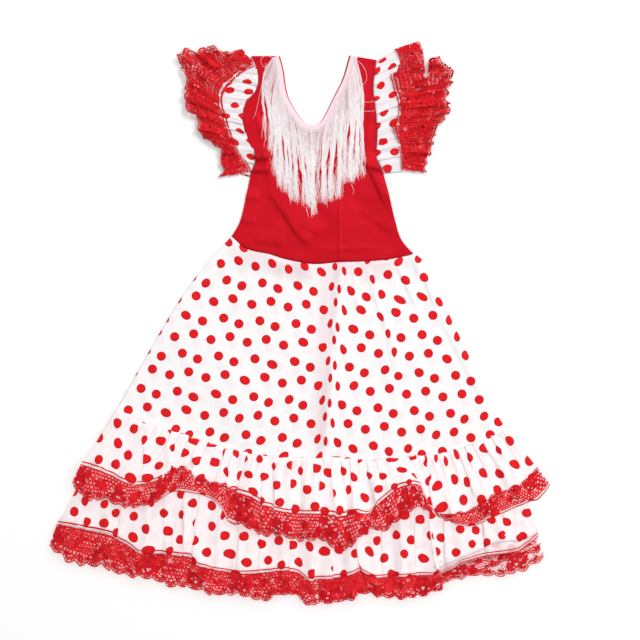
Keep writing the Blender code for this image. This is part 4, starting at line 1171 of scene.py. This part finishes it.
def sleeve_strip(inner, outer, shares, seed, rows, lifted):
    """Points of a sleeve's strip between its two edges, gathered or flat."""
    far = spaced(rows)[:, None]
    plan = blend(inner[None], outer[None], far[..., None])
    folds = pleats(shares, 12, seed)[None] * (0.45 + 0.55 * np.abs(2 * far - 1))
    fine = pleats(shares, 31, seed + 2)[None] * (1 - far * 0.6)
    lean = 1.1 * lean_of_gathers(shares, seed)[None]
    plan[..., 1] += lifted * (lean * (folds - 0.5) * 1.6 + 0.5 * lean * (fine - 0.5))
    return with_height(plan, HALF_WALL + lifted * (WALL + LOFT + 3.2 * folds + 0.9 * fine))


def sleeve_lace_place(inner, outer, seed, reach, lifted, mirror):
    """As Ruffle.lace_place, for the lace of a sleeve."""
    first = int(seed)

    def place(along, drop, length, width):
        down = along / length
        far = np.interp(drop / width, (0, 0.1, 1.1), (0, 0.06, 1.1)) if mirror else drop / width
        start = rounded(inner, down)
        plan = start + (rounded(outer, down) - start) * (far * reach)[..., None]
        big, fine = pleats(down, 11, seed + 1), pleats(down, 34, seed + 4)
        curl = wobble(along, drop * 2.2, 15, first) + 0.8 * wobble(along, drop * 1.6, 7, first + 1)
        curl = 0.6 * curl * (0.4 + 0.6 * far)
        height = (1.8 + 5.8 * far) * big + (1.2 + 2.4 * far) * fine
        height = height + 5.0 * far * (1 - far) + 1.5 * (1 + curl)
        fold = lean_of_gathers(down, seed) * (1 + 2.8 * far) * (big - 0.5) + 1.1 * (fine - 0.5) + curl
        plan[..., 0] += lifted * 1.3 * far * wobble(along, drop, 11, first + 5)
        plan[..., 1] += lifted * fold * near_ends(down, 12)
        return with_height(plan, HALF_WALL + lifted * (WALL + LOFT + 0.6 + height))

    return place


def build_sleeve(side, arm, strip, lace, header, mirror, length):
    """A sleeve: its gathered dotted strip and its lace, in front and behind."""
    seed = 2.0 if mirror else 7.0
    shares = spaced(220)
    inner = rounded(arm, shares) + np.array([0.6 if mirror else -0.6, 0])
    border = rounded(strip, shares)
    outer = border + (rounded(lace, shares) - border) * (HEADER / SLEEVE_LACE_WIDTH)
    local = np.linalg.norm(outer - inner, axis=1)
    far = np.linspace(-0.5, 0.5, 13)[:, None] * local[None] + ROW_OF_DOTS
    down_rows = np.array(CELL_B) / np.hypot(*CELL_B)
    across_rows = np.array([-down_rows[1], down_rows[0]])
    uv = far[..., None] * across_rows + (shares * length)[None, :, None] * down_rows + np.array(DOT_START)
    front = sleeve_strip(inner, outer, shares, seed, 12, 1.0)
    behind = sleeve_strip(inner, outer, shares, seed, 4, 0.0)
    for label, points, places in (("front", front, uv), ("back", behind, behind[..., :2])):
        cloth = cloth_grid(f"sleeve_{side}_{label}_cloth", points, places)
        put(cloth, f"sleeve_{side}_{label}", DOTTED_SLEEVE)
    width = SLEEVE_LACE_WIDTH
    for label, lifted, edge, reach, pitch, closed in (
        ("front", 1.0, header, 1.08, 4.0, (0.06, 0.38)),
        ("back", 0.0, strip, 0.97, 5.0, (0.45, 0.80)),
    ):
        place = sleeve_lace_place(edge, lace, seed, reach, lifted, mirror)
        spans = [(0, LIGHT_SHARE, place, closed[0]), (LIGHT_SHARE, 1, place, closed[1])]
        name = f"sleeve_lace_{side}_{label}_net"
        net, _ = lace_mesh(name, spans, SLEEVE_LACE_LENGTH, width, pitch, 41, 0.75, 1.25, LACE_GAP)
        put(net, f"sleeve_lace_{side}_{label}", LACE)
        net.visible_shadow = label == "front"


# ---------------------------------------------------------------- fringe

THREAD_RADIUS = 0.42
TUFT = 8.5  # mean width of the tufts that a lock's tips divide into


def band_lines(neck, inward, shares):
    """Inner and outer edges of the ribbon along one side of the V."""
    point_x, point_y = neck[-1]
    inner = rounded(neck + [(point_x + inward * 3.0, point_y - 0.6)], shares)
    inner = inner - np.array([inward * BAND_INSET, 0]) * (1 - shares[:, None] ** 8)
    run = np.gradient(inner, axis=0)
    sideways = unit(np.stack([run[:, 1], -run[:, 0]], -1))
    sideways *= np.where(sideways[:, :1] * inward < 0, 1, -1)
    direction = unit(blend(sideways, np.array([0, -1.0]), shares[:, None] ** 6))
    return inner, inner + direction * BAND_WIDTH


def fringe_threads(neck, inward, locks, seed):
    """Paths of the threads that hang from one side of the V, drawn together in locks with frayed tips."""
    rng = np.random.default_rng(seed)
    row = np.repeat(np.arange(len(locks)), [lock[5] for lock in locks])
    count = len(row)
    top_from, top_to, tip_from, tip_to, tip_height, _ = np.array(locks, float)[row].T
    share = rng.uniform(0, 1, count)
    column = top_from + (top_to - top_from) * share + rng.normal(0, 0.8, count)
    outer, inner = (column.min(), column.max()) if inward > 0 else (column.max(), column.min())
    root_share = clamp((column - outer) / (inner - outer))
    edge, far_edge = band_lines(neck, inward, np.sort(root_share))
    root = (edge + (far_edge - edge) * 0.62)[np.argsort(np.argsort(root_share))]
    spread = tip_from + (tip_to - tip_from) * share
    tufts = np.maximum(np.round((tip_to - tip_from) / TUFT), 1)
    tuft = np.minimum(np.floor(share * tufts), tufts - 1)
    middle = tip_from + (tip_to - tip_from) * (tuft + 0.5) / tufts
    frayed = rng.normal(0, 1.0, count) * np.where(rng.uniform(0, 1, count) < 0.24, 4.2, 1.0)
    tip_x = middle + (spread - middle) * 0.95 + frayed
    shorter = rng.exponential(8.0, count) - 2.0
    tip_y = tip_height + 6.5 * np.sin(tuft * 2.4 + row * 1.9 + seed) + rng.normal(0, 3.0, count)
    tip_y = tip_y + 6 * np.abs(share - 0.5) + shorter
    v = spaced(15)[None, :]
    gathered = middle + (spread - middle) * 0.40
    x = root[:, :1] + (column[:, None] - root[:, :1]) * (1 - (1 - v) ** 5)
    x = x + (gathered - column)[:, None] * ease(v * 1.7 - 0.42)
    x = x + (tip_x - gathered)[:, None] * ease(v * 2.5 - 1.5)
    crinkle = rng.uniform(0, math.tau, (count, 3))
    shared = (row * 2.1 + tuft * 1.7)[:, None]
    for k, (waves, size) in enumerate(((1.3, 0.35), (3.1, 0.30), (6.3, 0.30))):
        x = x + size * np.sin(v * math.tau * waves + crinkle[:, k : k + 1]) * ease(v * 3)
        x = x + 2.2 * size * np.sin(v * math.tau * waves + shared * (k + 1)) * ease(v * 2 - 0.3)
    curl = rng.normal(0, 0.9, (count, 1)) * ease(v * 3 - 1.5)
    x = x + curl * np.sin(v * math.tau * 4.3 + crinkle[:, :1])
    y = root[:, 1:] + (tip_y[:, None] - root[:, 1:]) * v
    layer = rng.uniform(0.2, 2.6, (count, 1)) * (1 - 0.55 * v)
    return np.stack([x, y, bodice_height(x, y) + HALF_WALL + 1.3 * (1 - ease(v * 5)) + layer + 0.3], -1)


def stray_threads(side):
    """Paths of one side's loose threads and loops."""
    lift = 4.6 + 1.2 * np.sin(np.linspace(0, math.pi, 16))
    plans = [rounded(places, spaced(15)) for where, places in STRAYS if where == side]
    return with_height(np.array(plans), lift)


def build_fringe(side, neck, inward, locks, seed):
    """The ribbon and the threads on one side of the V."""
    shares = spaced(89)
    inner, outer = band_lines(neck, inward, shares)
    far = spaced(8)[:, None]
    bulge = 0.7 * np.sin(far * math.pi) + 0.15 * np.sin(shares[None] * 90)
    solid = with_height(blend(inner, outer, far[..., None]), FRONT + WALL + 0.3 + bulge)
    along = step_along(with_height(inner, 0.0))
    uv = np.stack(np.broadcast_arrays(along[None], far * BAND_WIDTH), -1)
    band = cloth_grid(f"fringe_{side}_ribbon", solid, uv, 0.8)
    put(band, None, RIBBON)

    paths = np.concatenate([fringe_threads(neck, inward, locks, seed), stray_threads(side)])
    points, faces = tubes(paths, THREAD_RADIUS)
    count, steps = paths.shape[:2]
    # The tone runs from root to tip, for the threads' painted shade near the root.
    tone = np.tile(spaced(steps - 1).repeat(len(points) // (count * steps)), count)
    threads = mesh_object(f"fringe_{side}_threads", points, faces, points[:, :2], tone)
    put(threads, f"fringe_{side}", THREAD)
    threads.visible_shadow = False


# ---------------------------------------------------------------- floor, light and camera

# In metres: the window's direction, what the lamps look at, and where the camera stands above.
WINDOW_SIDE = (0.45, 0.50, 0.74)
LAMPS_AIM = (0.03, 0.0, 0.0)
PHOTO_MIDDLE = (0.0315, 0.0034, 0.006)
PHOTO_WIDTH = 640 * 1.55 * MM


def add_to_scene(name, data, place):
    """A lamp or a camera at a place."""
    thing = bpy.data.objects.new(name, data)
    thing.location = place
    bpy.context.scene.collection.objects.link(thing)
    return thing


def build_stage():
    """The pale floor, soft light from the upper right, and the camera straight above."""
    corners = [(x * 4000, y * 4000, 0) for x, y in ((-1, -1), (1, -1), (1, 1), (-1, 1))]
    floor = mesh_object("floor", corners, [(0, 1, 2, 3)])
    floor.data.materials.append(floor_white("pale_floor"))
    scene = bpy.context.scene
    n = Nodes(bpy.data.worlds.new("soft_room"), "Background", Color=(1.0, 0.995, 0.99, 1))
    toward = n.vector("DOT_PRODUCT", n.add("TexCoord")["Generated"], WINDOW_SIDE)
    level = n.add("MapRange", {"Value": toward, "From Min": -0.4, "To Min": 0.32, "To Max": 1.0})[0]
    n.feed(n.shader, {"Strength": level})
    scene.world = n.owner
    for name, place, size, power in (
        ("key", (1.3, 1.5, 2.2), 1.1, 40.0),
        ("fill", (-1.4, 0.2, 2.6), 1.8, 5.0),
    ):
        lamp = bpy.data.lights.new(name, "AREA")
        lamp.shape, lamp.size, lamp.energy = "DISK", size, power
        way = Vector(LAMPS_AIM) - Vector(place)
        add_to_scene(name, lamp, place).rotation_euler = way.to_track_quat("-Z", "Y").to_euler()
    lens = bpy.data.cameras.new("camera")
    lens.lens, lens.sensor_width = 100.0, 36.0
    x, y, base = PHOTO_MIDDLE
    scene.camera = add_to_scene("camera", lens, (x, y, PHOTO_WIDTH * lens.lens / lens.sensor_width + base))
    scene.view_settings.view_transform = "Standard"


build_bodice()
build_skirt()
build_ruffles()
build_inside()
build_backs()
build_sleeve("left", ARM_LEFT, STRIP_LEFT, LACE_LEFT, HEADER_LEFT, False, 290.0)
build_sleeve("right", ARM_RIGHT, STRIP_RIGHT, LACE_RIGHT, HEADER_RIGHT, True, 250.0)
build_fringe("left", NECK_LEFT, 1, LOCKS_LEFT, 51)
build_fringe("right", NECK_RIGHT, -1, LOCKS_RIGHT, 61)
build_stage()
bpy.context.view_layer.update()
